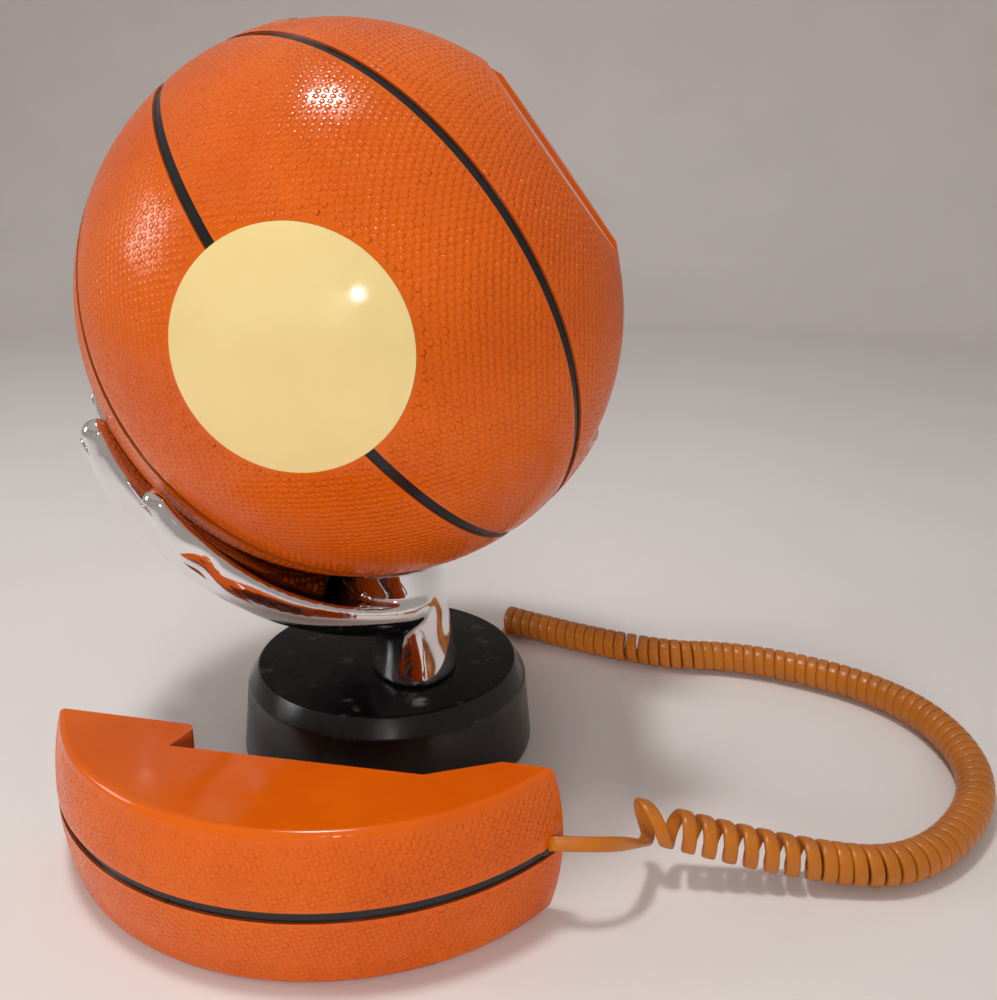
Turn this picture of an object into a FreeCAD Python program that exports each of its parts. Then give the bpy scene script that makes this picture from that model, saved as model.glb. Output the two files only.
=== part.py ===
import FreeCAD, Part
import math
import os

from FreeCAD import Matrix, Placement, Rotation, Vector

# A novelty telephone: a ball held up by a chrome hand on a round base, with a slice of the ball as its
# handset, lying beside it on the table at the end of a curly cord.
# World frame: origin on the base's axis at table level, +Z up, +X to the right, -Y to the front.

# Driving dimensions, in millimetres and degrees

# Ball
ball_radius = 95.0
ball_wall = 2.6
ball_yaw = -12.0
ball_roll = 37.0
ball_offset_x = -6.0
ball_offset_y = 4.0
flat_depth = 10.5
seam_count = 4
seam_width = 3.4
seam_depth = 0.8
badge_radius = 34.8
badge_depth = 1.2
badge_stand = 0.15
badge_gap = 0.1

# Handset, a slice of the same ball
handset_thickness = 49.5
handset_wall = 2.4
handset_rim = 2.5
chord_offset = 45.0
ear_block_length = 45.2
ear_block_lean = 3.0
grip_depth_ear = 12.9
grip_depth_mouth = 10.9
grip_length = 78.9
mouth_ramp_length = 20.9
mouth_rise = 0.8
ear_corner_radius = 3.0
handset_x = -15.3
handset_y = -42.4
handset_turn = -18.26

# Cradle in the ball
slot_clearance = 0.6
dock_clearance = 1.7
cradle_wall = 2.0
hook_radius = 4.0
hook_fit = 0.05
hook_stand = 6.0
hook_rounding = 1.8
hook_travel = 3.5
hook_flange_radius = 6.5
hook_flange = 1.5
hook_inset = 25.0
stop_gap = 0.1

# Ball circuit board
board_thickness = 1.6
ball_board_drop = 14.5
ball_board_width = 44.0
ball_board_length = 84.0
ball_board_shift = 26.0
board_post_radius = 3.0
board_screw_radius = 1.1
board_screw_length = 6.0
board_screw_head_radius = 2.0
board_screw_head = 1.3
board_edge = 4.0
hook_switch_length = 12.8
hook_switch_width = 6.4
ringer_radius = 11.0
ringer_height = 7.0
ringer_hole_radius = 1.8
ringer_place = 8.0

# Ball screws
ball_screw_inset = 17.0
ball_screw_angles = (100.0, 150.0, 210.0, 260.0)
ball_boss_radius = 5.6
ball_screw_radius = 1.5
ball_screw_head_radius = 3.0
ball_screw_head = 2.4
ball_screw_seat = 8.0
ball_screw_length = 20.0
counterbore_gap = 0.4

# Base
base_radius = 56.4
base_shoulder_radius = 53.8
base_shoulder_height = 27.4
base_top_radius = 49.5
base_height = 34.4
base_wall = 3.0
base_top_wall = 4.0
base_lift = 1.0
plate_thickness = 2.5
plate_recess = 0.5
plate_gap = 0.2
foot_margin = 1.5
foot_sink = 0.8
weight_margin = 3.1
weight_height = 10.0
base_screw_inset = 7.1
base_screw_count = 4
base_screw_turn = 20.0
base_screw_radius = 1.5
base_screw_head_radius = 3.0
base_screw_head = 1.8
base_screw_length = 12.0
base_boss_radius = 4.2

# Line jack at the back of the base
jack_width = 13.0
jack_height = 12.0
jack_depth = 14.0
jack_socket_width = 9.8
jack_socket_height = 7.6
jack_socket_depth = 11.0
jack_centre_height = 14.0

# Ringer switch on the base
ringer_switch_angle = 140.0
switch_knob_length = 5.0
switch_knob_height = 4.0
switch_knob_stand = 2.2
switch_travel = 4.0
switch_body_length = 18.0
switch_body_height = 9.0
switch_body_depth = 6.0
switch_gap = 0.3
switch_height = 14.0

# Cord gland on the base
gland_angle = 58.0
gland_radius = 4.5
gland_flange_radius = 6.0
gland_flange = 1.6
gland_flange_gap = 0.6
gland_stand = 6.0
gland_inside = 3.0
gland_height = 13.0

# Hand
palm_height = 38.6
hand_gap = 0.2
finger_sink = 0.2
wrist_x = 13.0
wrist_y = -5.0
wrist_bolt_radius = 3.0
wrist_bolt_length = 24.0
wrist_bolt_head_radius = 5.5
wrist_bolt_head = 4.0
wrist_washer_radius = 8.0
wrist_washer = 1.6
palm_screw_radius = 1.75
palm_screw_head_radius = 3.4
palm_screw_head = 2.5
palm_screw_reach = 12.0
palm_screw_bite = 6.0
palm_screw_x = -32.0
palm_screw_ys = (0.0, 22.0)
palm_boss_radius = 5.0
palm_boss_height = 8.0

# The hollow in front of the palm, a ball cut from the fingers, and its middle from the ball's
palm_hollow_radius = 91.7
palm_hollow_x = 5.0
palm_hollow_y = -20.5
palm_hollow_z = -9.0

# The wrist's sections: height over the base, shift to the left, half depth and half breadth
wrist_sections = (
    (0.0, 0.0, 14.0, 23.0),
    (12.2, 1.0, 13.3, 22.3),
    (22.6, 4.5, 15.1, 25.8),
    (34.7, 9.0, 18.9, 31.0),
    (48.0, 13.0, 19.5, 31.0),
)

# The fingers' sections: lean to the left and to the back from straight under the ball, and radius
little_finger = ((-6, -13, 13), (8, -20, 11.6), (20, -23, 12), (32, -25, 9), (43, -26, 6.9), (49, -26, 4))
ring_finger = ((-6, -6, 13), (10, -9, 12.5), (25, -12, 11.5), (42, -13, 9.7), (57, -15, 8.2), (67, -16, 5.7))
middle_finger = ((-6, 1, 13), (10, 1.5, 12.5), (27, 2, 11.2), (46, 3, 9.2), (62, 5, 7.4), (72, 7, 5.4))
index_finger = ((-6, 8, 13), (9, 12, 12.5), (25, 15, 11), (42, 17, 9), (57, 19, 7.6), (67, 20, 5.8))
thumb = ((-8, 8, 13), (-4, 20, 12.5), (2, 32, 10.5), (7, 43, 9), (11, 52, 7.8), (14, 59, 6.6))

# A fingertip's last sections: reach past the last one and radius, as shares of its radius
tip_sections = ((0.6, 0.8), (0.9, 0.42))

# Keypad
key_columns = 3
key_rows = 4
key_pitch_across = 13.0
key_pitch_along = 12.0
key_width = 9.6
key_length = 8.0
key_corner = 1.6
key_rounding = 0.45
key_stand = 1.8
key_travel = 1.0
key_gap = 0.3
key_flange_step = 1.0
key_flange = 1.0
mat_clearance = 0.2
mat_thickness = 1.0
mat_dome_radius = 2.6
mat_dome = 0.8
mat_margin = 1.5
handset_board_width = 41.0
handset_board_margin = 7.5

# Handset works
tone_switch_shift = -35.7
tone_knob_length = 3.2
tone_knob_width = 4.5
tone_knob_stand = 1.2
tone_travel = 3.0
tone_body_length = 7.0
tone_body_width = 13.0
tone_body_depth = 4.0
receiver_radius = 15.0
receiver_height = 9.0
receiver_inset = 24.0
receiver_hole_radius = 1.1
receiver_hole_circle = 7.0
receiver_hole_count = 8
receiver_ring_wall = 1.5
receiver_ring_height = 6.0
microphone_radius = 2.5
microphone_height = 4.0
microphone_inset = 7.0
microphone_hole_radius = 0.6
microphone_hole_step = 2.0
handset_screw_radius = 1.3
handset_screw_head_radius = 2.5
handset_screw_head = 1.6
handset_screw_length = 12.0
handset_screw_across = 18.0
handset_screw_inset = 3.5
handset_boss_radius = 3.6
cover_gap = 0.1
exit_x = 50.0
exit_rise = 3.0
exit_turn = 10.0
exit_sink = 4.2
exit_stand = 3.3
grommet_radius = 3.6

# Curly cord
cord_diameter = 3.4
coil_diameter = 14.0
coil_lift = 0.2
coil_pitch = 4.7
coil_open_pitch = 6.6
coil_open_turns = 8
coil_steps = 2
gap_steps = 12
turn_step = 0.001
tail_run = 9.5
bend_share = 0.45

# Worked out from these
ball_centre = Vector(ball_offset_x, ball_offset_y, base_height + palm_height + ball_radius)
ball_place = Placement(
    ball_centre,
    Rotation(Vector(0, 0, 1), ball_yaw).multiply(Rotation(Vector(0, 1, 0), -ball_roll)),
)
flat_x = ball_radius - flat_depth
ball_screw_circle = ball_radius - ball_screw_inset
handset_half = handset_thickness / 2
slot_half = handset_half + slot_clearance
floor_x = chord_offset - mouth_rise - dock_clearance
floor_under = floor_x - cradle_wall
far = 2 * ball_radius
touch = 0.01

# The handset lies on its side: its own +X, out through the arc, faces front, its +Y up, its +Z to the ear
handset_centre = Vector(handset_x, handset_y, handset_half)
handset_out = Vector(math.sin(math.radians(handset_turn)), -math.cos(math.radians(handset_turn)), 0)
handset_up = Vector(0, 0, 1)
handset_ear = handset_out.cross(handset_up)
handset_place = Placement(
    Matrix(
        handset_out.x, handset_up.x, handset_ear.x, handset_centre.x,
        handset_out.y, handset_up.y, handset_ear.y, handset_centre.y,
        handset_out.z, handset_up.z, handset_ear.z, handset_centre.z,
        0, 0, 0, 1,
    )
)
chord_half = math.sqrt(ball_radius**2 - handset_half**2 - chord_offset**2)
step_z = chord_half - ear_block_length
grip_top_x = chord_offset + grip_depth_ear
grip_end_z = step_z - grip_length
grip_end_x = chord_offset + grip_depth_mouth
mouth_x = chord_offset - mouth_rise
ramp_z = grip_end_z - mouth_ramp_length

os.makedirs("parts", exist_ok=True)


def export(node, shape):
    shape.exportStep("parts/" + node + ".step")
    print(node, len(shape.Solids), "solids, volume", round(shape.Volume, 1))


def box(low, high):
    size = high - low
    return Part.makeBox(size.x, size.y, size.z, low)


def rod(radius, start, end):
    along = end - start
    return Part.makeCylinder(radius, along.Length, start, along)


def tube(outer_radius, inner_radius, start, end):
    return rod(outer_radius, start, end).cut(rod(inner_radius, start, end))


def moved(shape, place):
    return shape.transformed(place.toMatrix())


def joined(shapes):
    return shapes[0].multiFuse(shapes[1:]).removeSplitter()


def prism(corners, half_width):
    """A block of this outline in X and Z, that wide to both sides of Y = 0."""
    points = [Vector(x, -half_width, z) for x, z in corners]
    face = Part.Face(Part.makePolygon(points + points[:1]))
    return face.extrude(Vector(0, 2 * half_width, 0))


def screw(radius, length, head_radius, head, tip, along):
    """A pan-head screw from its tip, with its head at the far end of along."""
    under = tip + along * length
    shank = rod(radius, tip, under)
    return shank.fuse(rod(head_radius, under, under + along * head)).removeSplitter()


def ring_cut(normal, width, inner_radius):
    """A flat band of cut round the ball, square to normal."""
    start = normal * (-width / 2)
    return tube(far, inner_radius, start, start + normal * width)


# The ball's seams are four great circles through the poles on its own +Z and -Z
def seam_cuts():
    cuts = []
    for turn in range(seam_count):
        angle = math.pi * turn / seam_count
        normal = Vector(math.cos(angle), math.sin(angle), 0)
        cuts.append(ring_cut(normal, seam_width, ball_radius - seam_depth))
    return cuts


def flattened_ball(radius, flat):
    ball = Part.makeSphere(radius)
    return ball.cut(box(Vector(flat, -far, -far), Vector(far, far, far)))


def slot_block(half_width, low_x):
    return box(Vector(low_x, -half_width, -far), Vector(far, half_width, far))


def ball_screw_places():
    angles = [math.radians(a) for a in ball_screw_angles]
    return [Vector(math.cos(a), 0, math.sin(a)) * ball_screw_circle for a in angles]


def palm_screw_foot(y):
    """Where a palm screw's axis meets the ball, in the world."""
    across = (palm_screw_x, y)
    down = math.sqrt(ball_radius**2 - across[0] ** 2 - across[1] ** 2)
    return ball_centre + Vector(across[0], across[1], -down)


def palm_boss(y):
    foot = palm_screw_foot(y)
    up = Vector(0, 0, 1)
    boss = rod(palm_boss_radius, foot - up * palm_boss_radius, foot + up * palm_boss_height)
    hole = rod(palm_screw_radius, foot - up * palm_boss_radius, foot + up * palm_screw_bite)
    back = ball_place.inverse()
    return moved(boss, back), moved(hole, back)


def ball_shells():
    shell = flattened_ball(ball_radius, flat_x)
    shell = shell.cut(flattened_ball(ball_radius - ball_wall, flat_x - ball_wall))
    inside = Part.makeSphere(ball_radius - ball_wall / 2)
    front_bosses = []
    rear_bosses = []
    for place in ball_screw_places():
        front_bosses.append(rod(ball_boss_radius, place, place - Vector(0, far, 0)).common(inside))
        rear_bosses.append(rod(ball_boss_radius, place, place + Vector(0, far, 0)).common(inside))
    halves = []
    for side, bosses, palm_y in ((-1, front_bosses, palm_screw_ys[0]), (1, rear_bosses, palm_screw_ys[1])):
        low = Vector(-far, min(0, side * far), -far)
        high = Vector(far, max(0, side * far), far)
        half = shell.common(box(low, high))
        boss, hole = palm_boss(palm_y)
        half = half.multiFuse(bosses + [boss.common(inside)])
        half = half.cut(hole)
        half = half.cut(slot_block(slot_half + cradle_wall, floor_under))
        for cut in seam_cuts():
            half = half.cut(cut)
        halves.append(half)
    front, rear = halves
    for place in ball_screw_places():
        depth = ball_screw_length - ball_screw_seat
        front = front.cut(rod(ball_screw_radius, place, place - Vector(0, depth, 0)))
        seat = place + Vector(0, ball_screw_seat, 0)
        rear = rear.cut(rod(ball_screw_radius, place, seat))
        rear = rear.cut(rod(ball_screw_head_radius + counterbore_gap, seat, seat + Vector(0, far, 0)))
    seat = badge_blank(badge_radius, ball_radius - badge_depth, far)
    return front.cut(seat), rear


def badge_blank(radius, inner, outer):
    """The part of a round bar through the ball's front that lies between two radii from its centre."""
    bar = rod(radius, Vector(0, 0, 0), Vector(0, -far, 0))
    if outer < far:
        bar = bar.common(Part.makeSphere(outer))
    return bar.cut(Part.makeSphere(inner))


def badge_disc():
    return badge_blank(badge_radius - badge_gap, ball_radius - badge_depth, ball_radius + badge_stand)


# Cradle, hook and board, in the ball's own frame
hook_z = chord_half - hook_inset
board_top = floor_under - ball_board_drop
board_under = board_top - board_thickness


def board_post_places():
    half_width = ball_board_width / 2 - board_edge
    half_length = ball_board_length / 2 - board_edge
    return [
        Vector(0, y, ball_board_shift + z)
        for y in (-half_width, half_width)
        for z in (-half_length, half_length)
    ]


def handset_cradle():
    cradle = slot_block(slot_half + cradle_wall, floor_under).cut(slot_block(slot_half, floor_x))
    cradle = cradle.common(flattened_ball(ball_radius, flat_x))
    x_under = Vector(floor_under, 0, 0)
    x_board = Vector(board_top, 0, 0)
    posts = [rod(board_post_radius, x_board + p, x_under + p) for p in board_post_places()]
    cradle = cradle.multiFuse(posts)
    for p in board_post_places():
        depth = Vector(board_screw_length - board_thickness, 0, 0)
        cradle = cradle.cut(rod(board_screw_radius, x_board + p, x_board + p + depth))
    bore = rod(hook_radius + hook_fit, Vector(floor_under, 0, hook_z), Vector(floor_x, 0, hook_z))
    return cradle.cut(bore).removeSplitter()


def hook_plunger():
    flange_top = floor_under - stop_gap
    flange_low = Vector(flange_top - hook_flange, 0, hook_z)
    top = Vector(floor_x + hook_stand, 0, hook_z)
    stem = rod(hook_radius, flange_low, top)
    rim = [e for e in stem.Edges if e.BoundBox.XMin > top.x - touch]
    stem = stem.makeFillet(hook_rounding, rim)
    flange = rod(hook_flange_radius, flange_low, Vector(flange_top, 0, hook_z))
    return stem.fuse(flange).removeSplitter()


def hook_switch():
    top = floor_under - stop_gap - hook_flange - hook_travel - stop_gap
    return box(
        Vector(board_top, -hook_switch_width / 2, hook_z - hook_switch_length / 2),
        Vector(top, hook_switch_width / 2, hook_z + hook_switch_length / 2),
    )


def ball_board():
    board = box(
        Vector(board_under, -ball_board_width / 2, ball_board_shift - ball_board_length / 2),
        Vector(board_top, ball_board_width / 2, ball_board_shift + ball_board_length / 2),
    )
    for p in board_post_places():
        board = board.cut(rod(board_screw_radius, Vector(board_under, 0, 0) + p, Vector(board_top, 0, 0) + p))
    return board


def ball_board_screws():
    tip = Vector(board_under + board_screw_length, 0, 0)
    return [
        screw(
            board_screw_radius, board_screw_length, board_screw_head_radius, board_screw_head,
            tip + p, Vector(-1, 0, 0),
        )
        for p in board_post_places()
    ]


def ringer():
    start = Vector(board_top, 0, ringer_place)
    can = rod(ringer_radius, start, start + Vector(ringer_height, 0, 0))
    middle = start + Vector(ringer_height / 2, 0, 0)
    return can.cut(rod(ringer_hole_radius, middle, middle + Vector(ringer_height, 0, 0)))


def ball_screws():
    screws = []
    for place in ball_screw_places():
        tip = place - Vector(0, ball_screw_length - ball_screw_seat, 0)
        screws.append(
            screw(
                ball_screw_radius, ball_screw_length, ball_screw_head_radius, ball_screw_head,
                tip, Vector(0, 1, 0),
            )
        )
    return screws


front_shell, rear_shell = ball_shells()
ball_pieces = {
    "ball_front_shell": front_shell,
    "ball_rear_shell": rear_shell,
    "badge_disc": badge_disc(),
    "handset_cradle": handset_cradle(),
    "hook_plunger": hook_plunger(),
    "hook_switch": hook_switch(),
    "ball_circuit_board": ball_board(),
    "ball_board_screws": Part.makeCompound(ball_board_screws()),
    "ringer": ringer(),
    "ball_screws": Part.makeCompound(ball_screws()),
}
for name, piece in ball_pieces.items():
    export(name, moved(piece, ball_place))


# Base, in the world frame
plate_top = base_lift + plate_recess + plate_thickness
plate_under = base_lift + plate_recess
cavity_top = base_height - base_top_wall


def base_radius_at(z):
    """The drafted side's outer radius at a height below the shoulder."""
    share = (z - base_lift) / (base_shoulder_height - base_lift)
    return base_radius + share * (base_shoulder_radius - base_radius)


def turned(corners):
    """A solid of revolution about Z of this outline of radius and height."""
    points = [Vector(r, 0, z) for r, z in corners]
    return Part.Face(Part.makePolygon(points + points[:1])).revolve(Vector(0, 0, 0), Vector(0, 0, 1), 360)


def round_places(count, circle, turn):
    angles = [math.radians(turn + 360 * i / count) for i in range(count)]
    return [Vector(circle * math.cos(a), circle * math.sin(a), 0) for a in angles]


def outward(angle):
    return Vector(math.cos(math.radians(angle)), math.sin(math.radians(angle)), 0)


def cavity_radius_at(z):
    """The inside's radius at a height, which narrows to the roof."""
    low = base_radius - base_wall
    high = base_shoulder_radius - 2 * base_wall
    return low + (z - base_lift) / (cavity_top - base_lift) * (high - low)


plate_radius = cavity_radius_at(plate_top) - plate_gap
base_screw_circle = plate_radius - base_screw_inset
foot_radius = base_screw_circle - base_screw_head_radius - foot_margin
jack_face = math.sqrt(base_radius_at(jack_centre_height + jack_height / 2) ** 2 - jack_width**2 / 4)
weight_radius = jack_face - jack_depth - weight_margin
wrist_foot = Vector(wrist_x, wrist_y, base_height)
switch_top = switch_height + switch_body_height / 2
switch_face = math.sqrt(cavity_radius_at(switch_top) ** 2 - switch_body_length**2 / 4) - stop_gap
up_z = Vector(0, 0, 1)


def side_block(angle, near, out, width, height, middle):
    """A block square to a radius of the base, from one distance from the axis to another."""
    block = box(Vector(near, -width / 2, middle - height / 2), Vector(out, width / 2, middle + height / 2))
    return moved(block, Placement(Vector(0, 0, 0), Rotation(up_z, angle)))


def base_housing():
    outer = turned(
        [
            (0, base_lift),
            (base_radius, base_lift),
            (base_shoulder_radius, base_shoulder_height),
            (base_top_radius, base_height),
            (0, base_height),
        ]
    )
    cavity = turned(
        [
            (0, base_lift),
            (cavity_radius_at(base_lift), base_lift),
            (cavity_radius_at(cavity_top), cavity_top),
            (0, cavity_top),
        ]
    )
    housing = outer.cut(cavity)
    boss_top = cavity_top + base_top_wall / 2
    bosses = []
    for place in round_places(base_screw_count, base_screw_circle, base_screw_turn):
        boss = rod(base_boss_radius, place + up_z * plate_top, place + up_z * boss_top)
        bosses.append(boss.common(outer))
    pad = side_block(
        ringer_switch_angle, switch_face, base_shoulder_radius,
        switch_body_length, switch_body_height, switch_height,
    )
    housing = housing.multiFuse(bosses + [pad.common(outer)])
    hole_top = plate_under + base_screw_length
    for place in round_places(base_screw_count, base_screw_circle, base_screw_turn):
        housing = housing.cut(rod(base_screw_radius, place + up_z * plate_top, place + up_z * hole_top))
    housing = housing.cut(side_block(90, weight_radius, far, jack_width, jack_height, jack_centre_height))
    window = switch_knob_length + switch_travel + 2 * switch_gap
    housing = housing.cut(
        side_block(
            ringer_switch_angle, weight_radius, far,
            window, switch_knob_height + 2 * switch_gap, switch_height,
        )
    )
    axis = outward(gland_angle)
    hole_start = axis * weight_radius + up_z * gland_height
    housing = housing.cut(rod(gland_radius, hole_start, hole_start + axis * far))
    housing = housing.cut(rod(wrist_bolt_radius, Vector(wrist_x, wrist_y, 0), wrist_foot))
    return housing.removeSplitter()


def base_bottom_plate():
    plate = rod(plate_radius, up_z * plate_under, up_z * plate_top).cut(rubber_foot())
    for place in round_places(base_screw_count, base_screw_circle, base_screw_turn):
        plate = plate.cut(rod(base_screw_radius, place + up_z * plate_under, place + up_z * plate_top))
        plate = plate.cut(
            rod(
                base_screw_head_radius,
                place + up_z * plate_under,
                place + up_z * (plate_under + base_screw_head),
            )
        )
    return plate


def rubber_foot():
    return rod(foot_radius, Vector(0, 0, 0), up_z * (plate_under + foot_sink))


def base_weight():
    return rod(weight_radius, up_z * plate_top, up_z * (plate_top + weight_height))


def base_screws():
    under_head = plate_under + base_screw_head
    length = base_screw_length - base_screw_head
    return [
        screw(
            base_screw_radius, length, base_screw_head_radius, base_screw_head,
            p + up_z * (under_head + length), Vector(0, 0, -1),
        )
        for p in round_places(base_screw_count, base_screw_circle, base_screw_turn)
    ]


def line_jack():
    jack = side_block(90, jack_face - jack_depth, jack_face, jack_width, jack_height, jack_centre_height)
    bottom = jack_face - jack_socket_depth
    return jack.cut(side_block(90, bottom, far, jack_socket_width, jack_socket_height, jack_centre_height))


def ringer_switch_body():
    body = side_block(
        ringer_switch_angle, switch_face - switch_body_depth, switch_face,
        switch_body_length, switch_body_height, switch_height,
    )
    track = side_block(
        ringer_switch_angle, switch_face - switch_body_depth / 2, far,
        switch_knob_length + switch_travel + 2 * switch_gap,
        switch_knob_height + 2 * switch_gap, switch_height,
    )
    return body.cut(track)


def ringer_switch_knob():
    block = side_block(
        ringer_switch_angle,
        switch_face - switch_body_depth / 2 + switch_gap,
        base_radius_at(switch_height) + switch_knob_stand,
        switch_knob_length, switch_knob_height, switch_height,
    )
    across = outward(ringer_switch_angle + 90)
    return moved(block, Placement(across * (-switch_travel / 2), Rotation()))


def base_cord_gland():
    axis = outward(gland_angle)
    wall = axis * base_radius_at(gland_height) + up_z * gland_height
    sleeve = rod(gland_radius, wall - axis * (base_wall + gland_inside), wall + axis * gland_stand)
    nose = Part.makeCone(
        gland_flange_radius, gland_radius, gland_stand - gland_flange,
        wall + axis * gland_flange, axis,
    )
    flange = rod(gland_flange_radius, wall + axis * gland_flange_gap, wall + axis * gland_flange)
    return joined([sleeve, flange, nose])


# Hand: each finger is a run of round sections that hugs the ball, from the wrist to its tip
def hugging(lean, side, radius):
    """A finger's middle on the ball, so many degrees from straight below to the left and to the back."""
    lean = math.radians(lean)
    side = math.radians(side)
    out = Vector(-math.sin(lean) * math.cos(side), math.sin(side), -math.cos(lean) * math.cos(side))
    return ball_centre + out * (ball_radius + radius * (1 - finger_sink))


def finger(stations):
    """A loft through circles at stations of lean, side and radius, closed by a rounded tip."""
    centres = [hugging(*s) for s in stations]
    radii = [s[2] for s in stations]
    tip_dir = (centres[-1] - centres[-2]).normalize()
    for reach, share in tip_sections:
        centres.append(centres[len(stations) - 1] + tip_dir * (reach * radii[len(stations) - 1]))
        radii.append(share * radii[len(stations) - 1])
    wires = []
    for i, centre in enumerate(centres):
        along = (centres[min(i + 1, len(centres) - 1)] - centres[max(i - 1, 0)]).normalize()
        wires.append(round_section(centre, along, radii[i]))
    return Part.makeLoft(wires, True, True)


def round_section(centre, along, radius):
    """A circle square to along that starts on the side away from the ball, so that lofts don't twist."""
    away = (centre - ball_centre).normalize()
    side = along.cross(away).normalize()
    away = side.cross(along)
    frame = Matrix(
        away.x, side.x, along.x, centre.x,
        away.y, side.y, along.y, centre.y,
        away.z, side.z, along.z, centre.z,
        0, 0, 0, 1,
    )
    circle = Part.Circle(Vector(0, 0, 0), Vector(0, 0, 1), radius).toShape()
    return Part.Wire(circle.transformed(frame))


def wrist():
    wires = []
    for height, shift, half_depth, half_breadth in wrist_sections:
        centre = wrist_foot + Vector(-shift, 0, height)
        edge = Part.Ellipse(centre, half_breadth, half_depth).toShape()
        edge.rotate(centre, up_z, 90)
        wires.append(Part.Wire(edge))
    return Part.makeLoft(wires, True, False)


def palm_screw_line(y):
    foot = palm_screw_foot(y)
    return foot - up_z * palm_screw_reach, foot + up_z * palm_screw_bite


def hand():
    stations = (little_finger, ring_finger, middle_finger, index_finger, thumb)
    fingers = [finger(s) for s in stations]
    hollow_middle = ball_centre + Vector(palm_hollow_x, palm_hollow_y, palm_hollow_z)
    hollow = Part.makeSphere(palm_hollow_radius, hollow_middle)
    body = fingers[0].multiFuse(fingers[1:]).cut(hollow)
    pads = [rod(palm_boss_radius, palm_screw_line(y)[0], palm_screw_line(y)[1]) for y in palm_screw_ys]
    body = body.multiFuse([wrist()] + pads)
    ball = Part.makeSphere(ball_radius + hand_gap, ball_centre)
    body = body.cut(ball)
    bolt_top = wrist_foot + up_z * (wrist_bolt_length - base_top_wall - wrist_washer)
    body = body.cut(rod(wrist_bolt_radius, wrist_foot - up_z, bolt_top))
    for y in palm_screw_ys:
        under_head, tip = palm_screw_line(y)
        body = body.cut(rod(palm_screw_radius, under_head, tip))
        body = body.cut(rod(palm_screw_head_radius + counterbore_gap, under_head - up_z * far, under_head))
    return body


def wrist_bolt():
    under = Vector(wrist_x, wrist_y, cavity_top - wrist_washer)
    return screw(
        wrist_bolt_radius, wrist_bolt_length, wrist_bolt_head_radius, wrist_bolt_head,
        under + up_z * wrist_bolt_length, Vector(0, 0, -1),
    )


def wrist_washer_ring():
    top = Vector(wrist_x, wrist_y, cavity_top)
    return tube(wrist_washer_radius, wrist_bolt_radius, top - up_z * wrist_washer, top)


def palm_screws():
    screws = []
    for y in palm_screw_ys:
        under_head, tip = palm_screw_line(y)
        screws.append(
            screw(
                palm_screw_radius, (tip - under_head).Length, palm_screw_head_radius, palm_screw_head,
                tip, Vector(0, 0, -1),
            )
        )
    return screws


stand_pieces = {
    "base_housing": base_housing(),
    "base_bottom_plate": base_bottom_plate(),
    "rubber_foot": rubber_foot(),
    "base_weight": base_weight(),
    "base_screws": Part.makeCompound(base_screws()),
    "line_jack": line_jack(),
    "ringer_switch_body": ringer_switch_body(),
    "ringer_switch_knob": ringer_switch_knob(),
    "base_cord_gland": base_cord_gland(),
    "hand": hand(),
    "wrist_bolt": wrist_bolt(),
    "wrist_washer": wrist_washer_ring(),
    "palm_screws": Part.makeCompound(palm_screws()),
}
for name, piece in stand_pieces.items():
    export(name, piece)


# Handset, in its own frame: +X out through the arc, +Y across, +Z to the ear
def slice_blank(radius, half, rim):
    """A disc cut from a ball, that far to both sides of its middle, with a rounded rim."""
    turn = math.sqrt((radius - rim) ** 2 - (half - rim) ** 2)
    grow = radius / (radius - rim)
    lean = math.atan2(half - rim, turn) / 2 + math.pi / 4
    edges = []
    for side in (-1, 1):
        flat = Vector(turn, side * half, 0)
        middle = Vector(turn + rim * math.cos(lean), side * (half - rim + rim * math.sin(lean)), 0)
        touch = Vector(turn * grow, side * (half - rim) * grow, 0)
        edges.append(Part.LineSegment(Vector(0, side * half, 0), flat).toShape())
        edges.append(Part.Arc(flat, middle, touch).toShape())
    low = Vector(turn * grow, -(half - rim) * grow, 0)
    high = Vector(turn * grow, (half - rim) * grow, 0)
    edges.append(Part.Arc(low, Vector(radius, 0, 0), high).toShape())
    edges.append(Part.LineSegment(Vector(0, -half, 0), Vector(0, half, 0)).toShape())
    face = Part.Face(Part.Wire(Part.__sortEdges__(edges)))
    return face.revolve(Vector(0, 0, 0), Vector(0, 1, 0), 360)


# The inner face runs from the ear block over a step to the grip and up a ramp to the mouthpiece
inner_outline = [
    (chord_offset, far),
    (chord_offset, step_z - ear_block_lean),
    (grip_top_x, step_z),
    (grip_end_x, grip_end_z),
    (mouth_x, ramp_z),
    (mouth_x, -far),
]


def offset_outline(points, distance):
    """The same outline moved that far towards the arc, with its corners kept sharp."""
    lines = []
    for (ax, az), (bx, bz) in zip(points, points[1:]):
        length = math.hypot(bx - ax, bz - az)
        shift = (-(bz - az) / length * distance, (bx - ax) / length * distance)
        lines.append(((ax + shift[0], az + shift[1]), (bx + shift[0], bz + shift[1])))
    result = [lines[0][0]]
    for ((ax, az), (bx, bz)), ((cx, cz), (dx, dz)) in zip(lines, lines[1:]):
        cross = (bx - ax) * (dz - cz) - (bz - az) * (dx - cx)
        share = ((cx - ax) * (dz - cz) - (cz - az) * (dx - cx)) / cross
        result.append((ax + share * (bx - ax), az + share * (bz - az)))
    return result + [lines[-1][1]]


def behind(outline):
    """All that lies on the arc's side of an outline."""
    return prism(outline + [(far, -far), (far, far)], far)


cover_inside = behind(offset_outline(inner_outline, handset_wall))
handset_inside = slice_blank(ball_radius - handset_wall, handset_half - handset_wall, handset_wall / 2)

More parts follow.
